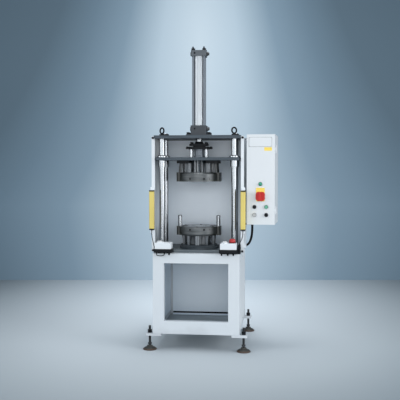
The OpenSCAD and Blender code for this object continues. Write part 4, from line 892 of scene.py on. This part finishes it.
@dataclass
class LightCurtains:
    """Two yellow light curtains with their windows and cables."""

    inner: float = 352.0
    glass_inset: float = 0.5
    groove: float = 2.0
    window_y: Pair = (81.0, 99.0)
    window_z: Pair = (985.0, 1283.0)
    window_edge: float = 0.3
    lenses: int = 20
    lens_outline: Profile = ((0, 0), (3.2, 0), (2.4, 0.35), (0, 0.5))
    cable_d: float = 6.0

    def build(self) -> None:
        """Dress the profiles and add windows, lenses and cables."""
        soften("curtain_housings", YELLOW_COAT, 1.0)
        soften("curtain_end_caps", BLACK, 1.0)
        soften("curtain_brackets", WHITE, 0.7)
        self.windows()
        self.cables()

    def windows(self) -> None:
        """Smoked strips with a row of lenses on the inner faces."""
        strip, spots = Shape(), []
        (y0, y1), (z0, z1) = self.window_y, self.window_z
        pitch = (z1 - z0) / self.lenses
        for side, facing in ((-1, Facing.RIGHT), (1, Facing.LEFT)):
            face = side * (self.inner + self.glass_inset)
            x0, x1 = sorted((face, side * (self.inner + self.groove)))
            strip.block((x0, y0, z0), (x1, y1, z1), place(0, 0, 0), self.window_edge)
            spots += [place(face, (y0 + y1) / 2, z0 + (i + 0.5) * pitch, facing) for i in range(self.lenses)]
        strip.join("curtain_windows", SMOKED, ROOT)
        cluster("curtain_lenses", RED, ROOT, spots, Shape.turned, self.lens_outline, 10)

    def cables(self) -> None:
        """Sensor cables from the curtains and the loop under the left station."""
        Cord("left_curtain_cable", (-372, 78, 972), (-343, 54, 798), (
            (0, 0, 0), (0, 0, 0.08), (0, 0, 0.16), (0.11, 0.04, 0.33), (0.37, 0.21, 0.53), (0.67, 0.58, 0.70),
            (0.93, 0.92, 0.84), (1, 1, 0.92), (1, 1, 0.96), (1, 1, 1),
        ), self.cable_d).build(RUBBER, "sensor_cables")
        Cord("right_curtain_cable", (372, 78, 972), (347, 37.92, 858), (
            (0, 0, 0), (0, 0, 0.10), (0, 0, 0.19), (0.13, 0.10, 0.41), (0.43, 0.40, 0.63), (0.83, 0.80, 0.79),
            (1, 1, 0.88), (1, 1, 0.94), (1, 1, 1),
        ), self.cable_d).build(RUBBER)
        Cord("station_loop_cable", (-316, -22, 789), (-252, -22, 773), (
            (0, 0, 0), (0, 0, 0.15), (0, 0, 0.30), (0.08, 0, 0.72), (0.28, 0, 0.93), (0.5, 0, 1),
            (0.72, 0, 0.93), (0.92, 0, 0.72), (1, 0, 0.30), (1, 0, 0.15), (1, 0, 0),
        ), self.cable_d).build(RUBBER)


@dataclass
class Cylinder:
    """Tie-rod cylinder on the top plate."""

    tie: float = 45.0
    tie_d: float = 15.0
    tie_pitch: float = 2.0
    tie_ends: Pair = (1796.0, 2468.0)
    thread_from: float = 2438.0
    rod_r: float = 25.0
    head: float = 1741.0
    wiper: Profile = ((0.4, -9), (3, -9), (8, -4), (8, -0.3), (1.2, -0.3), (0.4, -9))
    cushion_head: Pair = (14.0, 3.0)
    cushion_at: tuple[Point, ...] = ((-30.0, 168.0, 1800.0), (-30.0, 171.0, 2415.0))

    def build(self) -> None:
        """Dress the cylinder and add threads, wiper and cushion screws."""
        soften("cylinder_lower_cap", CAP, 1.5)
        soften("cylinder_upper_cap", HEAD, 1.5)
        keep(TUBE, "cylinder_tube")
        soften("port_fittings", STUD, 0.6)
        keep(BRONZE, "rod_gland")
        self.tie_rods()
        wiper = shifted(self.wiper, self.rod_r, self.head)
        cluster("rod_wiper", RUBBER, ROOT, [place(0, AXIS_Y, 0)], Shape.turned, wiper, 48)
        spots = [place(*spot, Facing.FRONT) for spot in self.cushion_at]
        cluster("cushion_screws", OXIDE, ROOT, spots, Shape.socket_head, *self.cushion_head)

    def tie_rods(self) -> None:
        """Plain rods with threaded upper ends."""
        shape = Shape()
        r, middle, (low, high) = self.tie_d / 2, self.thread_from, self.tie_ends
        for x, y in pairs(self.tie, (-self.tie, self.tie)):
            where = place(x, AXIS_Y + y, 0)
            shape.turned([(0, low), (r, low), (r, middle), (0, middle)], 24, where)
            shape.threaded(r, middle, high, self.tie_pitch, where, 24)
        shape.join("tie_rods_threaded", TIE, ROOT, "tie_rods")


@dataclass
class Ram:
    """Piston rod, coupling, platen and guide bushes."""

    clamp_at: Pair = (60.0, 34.0)
    clamp_top: float = 1676.0
    clamp_head: Pair = (20.0, 14.0)
    ear_x: float = 99.0
    ear_top: float = 1649.0
    ear_head: Pair = (18.0, 6.0)
    column_x: float = 296.0
    column_y: Pair = (142.0, 322.0)
    column_r: float = 22.5
    flange_top: float = 1576.0
    flange_screws: tuple[float, int, float] = (32.0, 4, 45.0)
    flange_head: Pair = (10.0, 6.0)
    wiper: Profile = ((0.3, 0), (5, 0), (5, 3), (1, 5), (0.3, 5), (0.3, 0))
    pillar_ends: Pair = (1564.0, 1631.0)
    pillar_at: Pair = (62.0, 34.0)
    pillar_r: float = 10.0
    pillar_bevel: float = 0.6
    adapter_r: float = 42.0
    adapter_waist: float = 3.0
    adapter_rims: Pair = (14.0, 9.0)

    def build(self) -> None:
        """Dress the ram and add its screws and wipers."""
        keep(CHROME, "piston_rod")
        keep(PISTON, "piston")
        keep(RUBBER, "piston_seal")
        soften("rod_coupling", OXIDE, 1.0)
        soften("coupling_plates", OXIDE, 1.2)
        self.stand_off()
        soften("platen", PLATE, 1.0)
        soften("guide_bushes", CHROME, 0.8)
        self.screws()
        spots = [place(x, y, self.flange_top) for x, y in pairs(self.column_x, self.column_y)]
        cluster("bush_wipers", RUBBER, RAM, spots, Shape.turned, shifted(self.wiper, self.column_r, 0), 40)

    def stand_off(self) -> None:
        """Bright pillars and the grey adapter block that they surround."""
        pillars, adapter = Shape(), Shape()
        low, high = self.pillar_ends
        r, bevel, (dx, dy) = self.pillar_r, self.pillar_bevel, self.pillar_at
        pillar = [(0, low), (r - bevel, low), (r, low + bevel), (r, high - bevel), (r - bevel, high), (0, high)]
        for x, y in pairs(dx, (-dy, dy)):
            pillars.turned(pillar, 32, place(x, AXIS_Y + y, 0))
        pillars.join("bright_pillars", CHROME, RAM, "standoff_pillars")
        r, waist, (foot, crown) = self.adapter_r, self.adapter_waist, self.adapter_rims
        adapter.turned([
            (0, low), (r, low), (r, low + foot), (r - waist, low + foot + waist),
            (r - waist, high - crown - waist), (r, high - crown), (r, high), (0, high),
        ], 48, place(0, AXIS_Y, 0))
        adapter.join("adapter_block", TIE, RAM, "standoff_pillars")

    def screws(self) -> None:
        """Cap screws of the clamp plate, the ears and the bush flanges."""
        shape = Shape()
        dx, dy = self.clamp_at
        bushes, ring = pairs(self.column_x, self.column_y), circle(*self.flange_screws)
        for head, top, spots in (
            (self.clamp_head, self.clamp_top, pairs(dx, (AXIS_Y - dy, AXIS_Y + dy))),
            (self.ear_head, self.ear_top, pairs(self.ear_x, (AXIS_Y,))),
            (self.flange_head, self.flange_top, [(x + a, y + b) for x, y in bushes for a, b in ring]),
        ):
            for spot in spots:
                shape.socket_head(*head, place(*spot, top))
        shape.join("ram_screws", OXIDE, RAM)


@dataclass
class DieSet:
    """Upper die under the platen and lower die on the bed."""

    lower_top: float = 998.0
    upper_bottom: float = 1367.0
    upper_top: float = 1441.0
    pocket_r: float = 95.0
    pocket_deep: float = 9.0
    insert_gap: float = 0.6
    insert_seat: float = 0.2
    nest_rise: float = 1.0
    nest_bevel: float = 1.5
    nest_face: Profile = ((70, 0), (68, -4), (40, -4), (38, 0), (12, 0), (11, -5), (0, -5))
    punch_face: Profile = ((66, 0), (64, -5), (20, -5), (18, -3), (0, -3))
    screw_ring: tuple[float, int, float] = (141.0, 6, 30.0)
    screw_head: Pair = (16.0, 3.0)
    # The plugs are dark discs in the handling holes: painted shade for the dark holes.
    plug_head: Pair = (15.6, 6.0)
    plug_at: Pair = (57.0, 80.0)
    plug_z: Pair = (976.0, 1389.0)
    spring_at: Pair = (118.0, -30.0)
    spring_r: float = 14.0
    spring_wire: float = 6.0
    spring_h: float = 75.0
    spring_turns: int = 6
    turn_steps: int = 20

    def build(self) -> None:
        """Dress both dies and add inserts, screws and springs."""
        soften("lower_die_shoe", SHOE, 1.5)
        soften("lower_die_posts", POST, 0.8)
        soften("lower_die_ring", RING, 2.4)
        keep(CHROME, "lower_die_pins")
        soften("upper_die_strips", OXIDE, 1.0)
        soften("upper_die_posts", POST, 0.8)
        soften("upper_die_ring", RING, 2.4)
        self.inserts()
        self.screws()
        self.springs()

    def inserts(self) -> None:
        """Turned inserts in the pockets of both rings."""
        where = [place(0, AXIS_Y, 0)]
        r, bevel = self.pocket_r - self.insert_gap, self.nest_bevel
        low, top = self.lower_top - self.pocket_deep + self.insert_seat, self.lower_top + self.nest_rise
        nest = [(0, low), (r, low), (r, top - bevel), (r - bevel, top), *shifted(self.nest_face, 0, top)]
        cluster("lower_insert", ZINC, ROOT, where, Shape.turned, nest, 64)
        high, foot = self.upper_bottom + self.pocket_deep - self.insert_seat, self.upper_bottom
        punch = [(0, high), (r, high), (r, foot), *shifted(self.punch_face, 0, foot)]
        cluster("upper_insert", ZINC, RAM, where, Shape.turned, punch, 64)

    def screws(self) -> None:
        """Cap screws round the lower ring, and black plugs in the handling holes of both rings."""
        spots = [place(x, AXIS_Y + y, self.lower_top) for x, y in circle(*self.screw_ring)]
        cluster("die_screws", OXIDE, ROOT, spots, Shape.socket_head, *self.screw_head)
        x, y = self.plug_at[0], self.plug_at[1] + self.plug_head[1]
        for name, body, z in zip(("lower_shade_plugs", "upper_shade_plugs"), (ROOT, RAM), self.plug_z):
            spots = [place(side, y, z, Facing.FRONT) for side in (-x, x)]
            cluster(name, OXIDE, body, spots, Shape.socket_head, *self.plug_head)

    def springs(self) -> None:
        """Round-wire coil springs of the upper die."""
        steps = self.turn_steps * self.spring_turns
        start, rise = self.upper_top + self.spring_wire / 2, self.spring_h - self.spring_wire
        (x, y), r = self.spring_at, self.spring_r
        turns = [(math.radians(360 * i * self.spring_turns / steps), rise * i / steps) for i in range(steps + 1)]
        coils = [[
            at(side * (x + r * math.cos(a)), AXIS_Y + side * (y + r * math.sin(a)), start + up) for a, up in turns
        ] for side in (1, -1)]
        mount(wire("die_springs", self.spring_wire, coils, 3), SPRING, RAM, "upper_die_springs")


@dataclass
class HandStations:
    """Two-hand stations with palm buttons and the emergency stop."""

    station_x: float = 262.0
    middle_y: float = 7.5
    button_x: float = 30.0
    button_y: float = 11.5
    top: float = 879.0
    screw_at: Pair = (56.0, 38.0)
    screw_head: Pair = (7.0, 1.6)
    rim: Profile = ((22.5, 0), (28, 0), (27, 4), (26, 5), (23.5, 5), (22.5, 4), (22.5, 0))
    seat: Profile = ((12, 0), (30, 0), (30, 2.4), (29, 3.2), (27.5, 3.2), (27, 0.6), (12, 0.6), (12, 0))

    def build(self) -> None:
        """Dress the stations and add the rims, the stop's seat and the cover screws."""
        soften("station_bases", BLACK, 2.0)
        soften("station_housings", WHITE, 3.0, 3)
        soften("cable_glands", BLACK, 0.6)
        soften("left_palm_button", PALE, 1.2, 3)
        soften("right_palm_button", PALE, 1.2, 3)
        soften("e_stop_button", STOP_RED, 1.6, 3)
        sides, (dx, dy) = (-self.station_x, self.station_x), self.screw_at
        palms = [place(x - self.button_x, self.button_y, self.top) for x in sides]
        cluster("palm_rims", WHITE, ROOT, palms, Shape.turned, self.rim, 40)
        stop = place(self.station_x + self.button_x, self.button_y, self.top)
        cluster("stop_seat", BLACK, ROOT, [stop], Shape.turned, self.seat, 40)
        screws = [place(m + x, self.middle_y + y, self.top) for m in sides for x, y in pairs(dx, (-dy, dy))]
        cluster("station_screws", ZINC, ROOT, screws, Shape.pan_head, *self.screw_head)


@dataclass
class ControlBox:
    """Control box with its door, controls and switchgear."""

    corner: Point = (399.0, 120.0, 1020.0)
    turn: float = 3.0
    w: float = 227.0
    d: float = 400.0
    h: float = 727.0
    wall: float = 2.0
    panel_x: float = 111.0
    button_x: float = 47.5
    rows: Pair = (78.0, 143.0)
    switch_z: float = 228.0
    lamp_z: float = 328.0
    door_depth: float = 20.0
    sleeve: float = 24.0
    stem_room: float = 5.0
    name_at: Pair = (110.0, 666.0)
    name_plate: Plate = (186.0, 78.0, 1.0, 4.0, 0.3)
    name_field: Plate = (181.0, 73.0, 0.6, 3.0, 0.2)
    name_lift: float = 0.9
    rivet_at: Pair = (86.0, 32.0)
    rivet_head: Pair = (5.0, 2.0)
    tag_at: Pair = (172.0, 609.0)
    tag: Plate = (62.0, 28.0, 0.6, 2.0, 0.2)
    field: Plate = (34.0, 13.0, 0.8, 2.0, 0.2)
    field_rise: float = 26.0
    lamp_field_rise: float = 27.0
    collar_r: Pair = (9.5, 13.5)
    collar_bite: float = 0.2
    contact: Point = (14.0, 20.0, 34.0)
    contact_screw: Pair = (7.0, 12.0)
    contact_head: Pair = (7.0, 2.0)
    switch: Point = (32.0, 38.0, 52.0)
    switch_gap: float = 0.5
    panel_room: float = 14.0
    rail_h: float = 8.0
    module_span: Pair = (0.15, 0.85)
    module_rows: tuple[tuple[float, float, int, float], ...] = (
        (0.83, 0.14, 3, 0.22), (0.60, 0.15, 2, 0.20), (0.40, 0.11, 5, 0.18), (0.20, 0.09, 8, 0.15),
    )
    wide_module: float = 24.0
    terminal_inset: float = 9.0
    terminal_head: Pair = (6.0, 1.2)
    label: Plate = (0.6, 0.5, 0.5, 1.0, 0.15)
    duct_drop: float = 46.0
    duct: Point = (44.0, 2.0, 38.0)
    duct_wall: Pair = (8.0, 30.0)
    teeth: int = 21
    tooth_w: float = 4.0
    stay: tuple[Point, Point] = ((355.0, 290.0, 1006.0), (440.0, 310.0, 1020.0))
    stay_nut: Pair = (24.0, 11.0)
    stay_nut_at: Point = (352.0, 300.0, 1012.0)
    hose_d: float = 20.0

    def inside(self, x: float, y: float, z: float, facing: Facing = Facing.UP) -> Matrix:
        """Matrix that puts a piece at a place along the box's front, into its depth and up, in millimetres."""
        box = Matrix.Translation(at(*self.corner)) @ Matrix.Rotation(-math.radians(self.turn), 4, "Z")
        return box @ Matrix.Translation(Vector((x, y, z)) * MM) @ facing.value @ Matrix.Scale(MM, 4)

    def front(self, x: float, z: float, lift: float = 0.0) -> Matrix:
        """Matrix that puts a piece on the door's front, or in front of it by a lift."""
        return self.inside(x, -lift, z, Facing.FRONT)

    def controls(self) -> list[Pair]:
        """Places of the four buttons on the door."""
        return [(self.panel_x + s * self.button_x, z) for z in self.rows for s in (-1, 1)]

    def build(self) -> None:
        """Dress the box and add plates, seals, wiring and the hose."""
        soften("box_body", BOX_WHITE, 0.9)
        soften("box_door", BOX_WHITE, 0.9)
        soften("box_brackets", WHITE, 1.0)
        keep(GALVANISED, "box_panel")
        soften("box_modules", GREY_MOULDING, 1.2)
        soften("button_bezels", BEZEL, 0.4)
        soften("signal_lamp", GREEN, 0.8, 3)
        soften("switch_plate", YELLOW, 0.6)
        soften("main_switch_handle", RED, 2.0, 3)
        soften("black_button", BLACK, 0.5)
        soften("green_button", GREEN, 0.5)
        soften("white_button", CLEAR, 0.5)
        soften("selector_knob", BLACK, 0.8)
        self.plates()
        self.seal()
        self.contact_blocks()
        self.switchgear()
        self.lower_stay()
        self.hose()

    def plates(self) -> None:
        """Bare name plate, bare tag and the blank fields above the buttons."""
        name = Shape()
        (x, z), (dx, dz) = self.name_at, self.rivet_at
        name.plate(*self.name_plate, self.front(x, z))
        for a, b in pairs(dx, (-dz, dz)):
            name.pan_head(*self.rivet_head, self.front(x + a, z + b))
        name.join("name_plate", BEZEL, DOOR)
        cluster("name_field", BARE_PLATE, DOOR, [self.front(x, z, self.name_lift)], Shape.plate, *self.name_field)
        cluster("bare_tag", YELLOW, DOOR, [self.front(*self.tag_at)], Shape.plate, *self.tag)
        spots = [self.front(x, z + self.field_rise) for x, z in self.controls()]
        spots.append(self.front(self.panel_x, self.lamp_z + self.lamp_field_rise))
        cluster("button_fields", PALE, DOOR, spots, Shape.plate, *self.field)

    def seal(self) -> None:
        """Foam seal on the inner edge of the door."""
        shape = Shape()
        inner, wide, edge, gap, proud = 3.0, 8.0, 1.5, 0.1, 1.2
        y0, y1 = self.wall + gap, self.door_depth + proud
        where = self.inside(0, 0, 0)
        for x in (inner, self.w - inner - wide):
            shape.block((x, y0, inner), (x + wide, y1, self.h - inner), where, edge)
        for z in (inner, self.h - inner - wide):
            shape.block((inner + wide, y0, z), (self.w - inner - wide, y1, z + wide), where, edge)
        shape.join("door_seal", RUBBER, DOOR)

    def contact_blocks(self) -> None:
        """Contact blocks behind the buttons and the main switch."""
        shape, screws = Shape(), Shape()
        (r0, r1), reach = self.collar_r, self.stem_room + self.collar_bite
        collar = [(r0, 0), (r1, 0), (r1, reach), (r0, reach), (r0, 0)]
        (w, h, deep), (dx, dz) = self.contact, self.contact_screw
        back = self.sleeve + self.stem_room
        for x, z in [*self.controls(), (self.panel_x, self.lamp_z)]:
            shape.turned(collar, 24, self.inside(x, self.sleeve, z, Facing.BACK))
            shape.block((-w, -h, 0), (w, h, deep), self.inside(x, back, z, Facing.BACK), 1.5)
            for side in (-dx, dx):
                screws.pan_head(*self.contact_head, self.inside(x + side, back + deep, z + dz, Facing.BACK))
        w, h, deep = self.switch
        rear = self.inside(self.panel_x, self.door_depth + self.switch_gap, self.switch_z, Facing.BACK)
        shape.block((-w, -h, 0), (w, h, deep), rear, 2.0)
        shape.join("contact_blocks", GREY_MOULDING, DOOR)
        screws.join("contact_screws", ZINC, DOOR)

    def switchgear(self) -> None:
        """Terminal screws and labels on the modules, and slotted wiring ducts between the rows."""
        screws, labels, duct = Shape(), Shape(), Shape()
        where = self.inside(0, 0, 0)
        rail = self.d - self.wall - self.panel_room - self.rail_h
        x0, x1 = (self.w * share for share in self.module_span)
        (across, up, *label), (far, sheet, tall_duct) = self.label, self.duct
        duct_edge = 0.4
        for share, tall, count, deep in self.module_rows:
            pitch = (x1 - x0) / count
            face = rail - deep * self.d
            z, half = share * self.h, tall * self.h / 2
            row = half - self.terminal_inset
            sides = (-pitch / 4, pitch / 4) if pitch > self.wide_module else (0.0,)
            for i in range(count):
                x = x0 + (i + 0.5) * pitch
                for dz in (-row, row):
                    for dx in sides:
                        screws.pan_head(*self.terminal_head, self.inside(x + dx, face, z + dz, Facing.FRONT))
                labels.plate(pitch * across, half * up, *label, self.inside(x, face, z, Facing.FRONT))
            low, front = z - half - self.duct_drop, rail - far
            inner, (foot, rim) = front + sheet, self.duct_wall
            duct.block((x0, front, low + foot), (x1, inner, low + rim), where, duct_edge)
            for i in range(self.teeth):
                x = x0 + i * (x1 - x0 - self.tooth_w) / (self.teeth - 1)
                duct.block((x, inner, low), (x + self.tooth_w, rail + self.rail_h, low + tall_duct), where, duct_edge)
        screws.join("terminal_screws", ZINC, ROOT)
        labels.join("module_fields", PALE, ROOT)
        duct.join("wiring_ducts", GREY_MOULDING, ROOT)

    def lower_stay(self) -> None:
        """Black arm between the right guard and the underside of the box, with its nut inside the guard."""
        shape = Shape()
        shape.block(*self.stay, place(0, 0, 0), 1.0)
        shape.hexagon(*self.stay_nut, place(*self.stay_nut_at, Facing.LEFT))
        shape.join("lower_stay", BLACK, ROOT)

    def hose(self) -> None:
        """Thick hose from the box down to the elbow on the base."""
        Cord("control_hose", (432, 430, 1008), (348, 562, 806), (
            (0, 0, 0), (0, 0, 0.08), (0, 0, 0.17), (0.02, 0.04, 0.36), (0.08, 0.15, 0.56), (0.19, 0.35, 0.72),
            (0.33, 0.59, 0.85), (0.50, 0.80, 0.94), (0.67, 0.95, 0.99), (0.80, 1, 1), (0.90, 1, 1), (1, 1, 1),
        ), self.hose_d).build(RUBBER, "box_hose")


@dataclass(frozen=True)
class Lamp:
    """Soft rectangular lamp: its place, the point it faces and its size in metres, and its power in watts."""

    name: str
    spot: Point
    aim: Point
    size: Pair
    power: float

    def build(self) -> None:
        """Hang the lamp."""
        data = bpy.data.lights.new(self.name, "AREA")
        data.shape = "RECTANGLE"
        data.size, data.size_y = self.size
        data.energy = self.power
        lamp = bpy.data.objects.new(self.name, data)
        lamp.location = self.spot
        lamp.rotation_euler = (Vector(self.aim) - Vector(self.spot)).to_track_quat("-Z", "Y").to_euler()
        bpy.context.scene.collection.objects.link(lamp)


@dataclass
class Studio:
    """Floor, backdrop, lamps and camera; the stage and the lamps are in metres."""

    eye: Point = (694.0, -5698.0, 1452.0)
    yaw: float = 6.61
    pitch: float = 2.30
    focal_px: float = 720.0
    image_px: float = 400.0
    sensor: float = 36.0
    sight: float = 200.0
    sheet_half: float = 30.0
    sheet_rough: float = 0.85
    # The floor and the wall carry painted pools of light: tones from dark rims to light middles, narrowed upwards by
    # the flare.
    flare: Pair = (0.88, 1.85)
    flare_z: Pair = (1.0, 3.7)
    floor_painted_pool: Point = (-0.40, 2.2, 0.0)
    floor_reach: Point = (2.4, 4.2, 3.2)
    floor_tones: tuple[Colour, ...] = ((0.168, 0.206, 0.234), (0.82, 0.895, 0.955))
    wall_far: float = 9.56
    wall_painted_pool_z: float = 3.1
    wall_reach: Point = (3.3, 3.3, 12.0)
    wall_tones: tuple[Colour, ...] = (
        (0.077, 0.122, 0.161), (0.113, 0.174, 0.228), (0.173, 0.249, 0.315), (0.373, 0.461, 0.531),
        (0.466, 0.548, 0.609),
    )
    lamps: tuple[Lamp, ...] = (
        Lamp("front", (0.4, -8.2, 1.9), (0.0, 0.0, 1.1), (8.0, 3.6), 285.0),
        Lamp("left", (-4.2, -3.0, 2.8), (0.0, 0.0, 1.2), (3.0, 3.0), 95.0),
        Lamp("right", (4.4, -2.2, 2.2), (0.0, 0.0, 1.0), (3.0, 3.0), 175.0),
        Lamp("top", (0.1, 0.1, 5.0), (0.0, 0.2, 1.0), (2.0, 2.0), 140.0),
    )
    sky: Colour = (0.80, 0.91, 1.0)
    sky_strength: float = 0.42

    def build(self) -> None:
        """Set the camera, the stage and the light."""
        self.camera()
        self.stage()
        for lamp in self.lamps:
            lamp.build()
        self.world()
        bpy.context.scene.view_settings.view_transform = "Standard"

    def camera(self) -> None:
        """Camera at the viewing angle of the photograph."""
        data = bpy.data.cameras.new("camera")
        data.sensor_width = self.sensor
        data.lens = self.focal_px / self.image_px * self.sensor
        data.clip_end = self.sight
        camera = bpy.data.objects.new("camera", data)
        camera.location = at(*self.eye)
        camera.rotation_euler = (math.radians(90 - self.pitch), 0.0, math.radians(self.yaw))
        bpy.context.scene.collection.objects.link(camera)
        bpy.context.scene.camera = camera

    def sheet(self, name: str, tones: Sequence[Colour], pool_middle: Point, reach: Point, where: Matrix) -> None:
        """One flat sheet of the stage, lighter round one place and clear from its rear.

        Args:
            name: its name.
            tones: colours from the rim of the light place to its middle.
            glow: middle of the light place.
            reach: half sizes of the light place.
            where: place of the sheet.
        """
        bm = bmesh.new()
        bmesh.ops.create_grid(bm, x_segments=1, y_segments=1, size=self.sheet_half, matrix=where)
        mesh = bpy.data.meshes.new(name)
        bm.to_mesh(mesh)
        bm.free()
        graph = Graph(name)
        shift = tuple(-c / r for c, r in zip(pool_middle, reach))
        spot = graph.add("ShaderNodeMapping", Vector=graph.place, Scale=tuple(1 / r for r in reach), Location=shift)
        far = graph.add("ShaderNodeVectorMath", Vector=spot.outputs["Vector"])
        far.operation = "LENGTH"
        flare = graph.span(graph.height(), *self.flare, *self.flare_z)
        near = graph.span(graph.math("MULTIPLY", far.outputs["Value"], flare), 1.0, 0.0, 0.0, 1.0)
        tone = graph.ramp(near, [(i / (len(tones) - 1), tone) for i, tone in enumerate(tones)])
        inputs = graph.shader.inputs
        graph.put(inputs["Base Color"], tone)
        inputs["Roughness"].default_value = self.sheet_rough
        mix = graph.add("ShaderNodeMixShader", Fac=graph.add("ShaderNodeNewGeometry").outputs["Backfacing"])
        graph.put(mix.inputs[1], graph.shader.outputs["BSDF"])
        graph.put(mix.inputs[2], graph.add("ShaderNodeBsdfTransparent").outputs["BSDF"])
        graph.put(graph.tree.nodes["Material Output"].inputs["Surface"], mix.outputs["Shader"])
        mesh.materials.append(graph.material)
        sheet = bpy.data.objects.new(name, mesh)
        bpy.context.scene.collection.objects.link(sheet)

    def stage(self) -> None:
        """Pale floor and a plain wall square to the view."""
        turn = math.radians(self.yaw)
        far = at(*self.eye) + Vector((-math.sin(turn), math.cos(turn), 0)) * self.wall_far
        wall = Matrix.Translation((far.x, far.y, 0)) @ Matrix.Rotation(turn, 4, "Z") @ Facing.FRONT.value
        self.sheet("floor", self.floor_tones, self.floor_painted_pool, self.floor_reach, Matrix.Identity(4))
        self.sheet("wall", self.wall_tones, (far.x, far.y, self.wall_painted_pool_z), self.wall_reach, wall)

    def world(self) -> None:
        """Even pale light from all round."""
        world = bpy.data.worlds.new("studio")
        world.use_nodes = True
        background = world.node_tree.nodes["Background"]
        background.inputs["Color"].default_value = (*self.sky, 1.0)
        background.inputs["Strength"].default_value = self.sky_strength
        bpy.context.scene.world = world


def main() -> None:
    """Build every part of the press in order and write the two boxes."""
    logging.basicConfig(level=logging.INFO, format="%(name)s: %(message)s")
    for part in (
        Studio(), LightCurtains(), ControlBox(), WeldedBase(), PressFrame(), Guards(), Cylinder(), Ram(), DieSet(),
        HandStations(),
    ):
        LOG.info("%s: %s", type(part).__name__, type(part).__doc__)
        part.build()


if __name__ == "__main__":
    main()
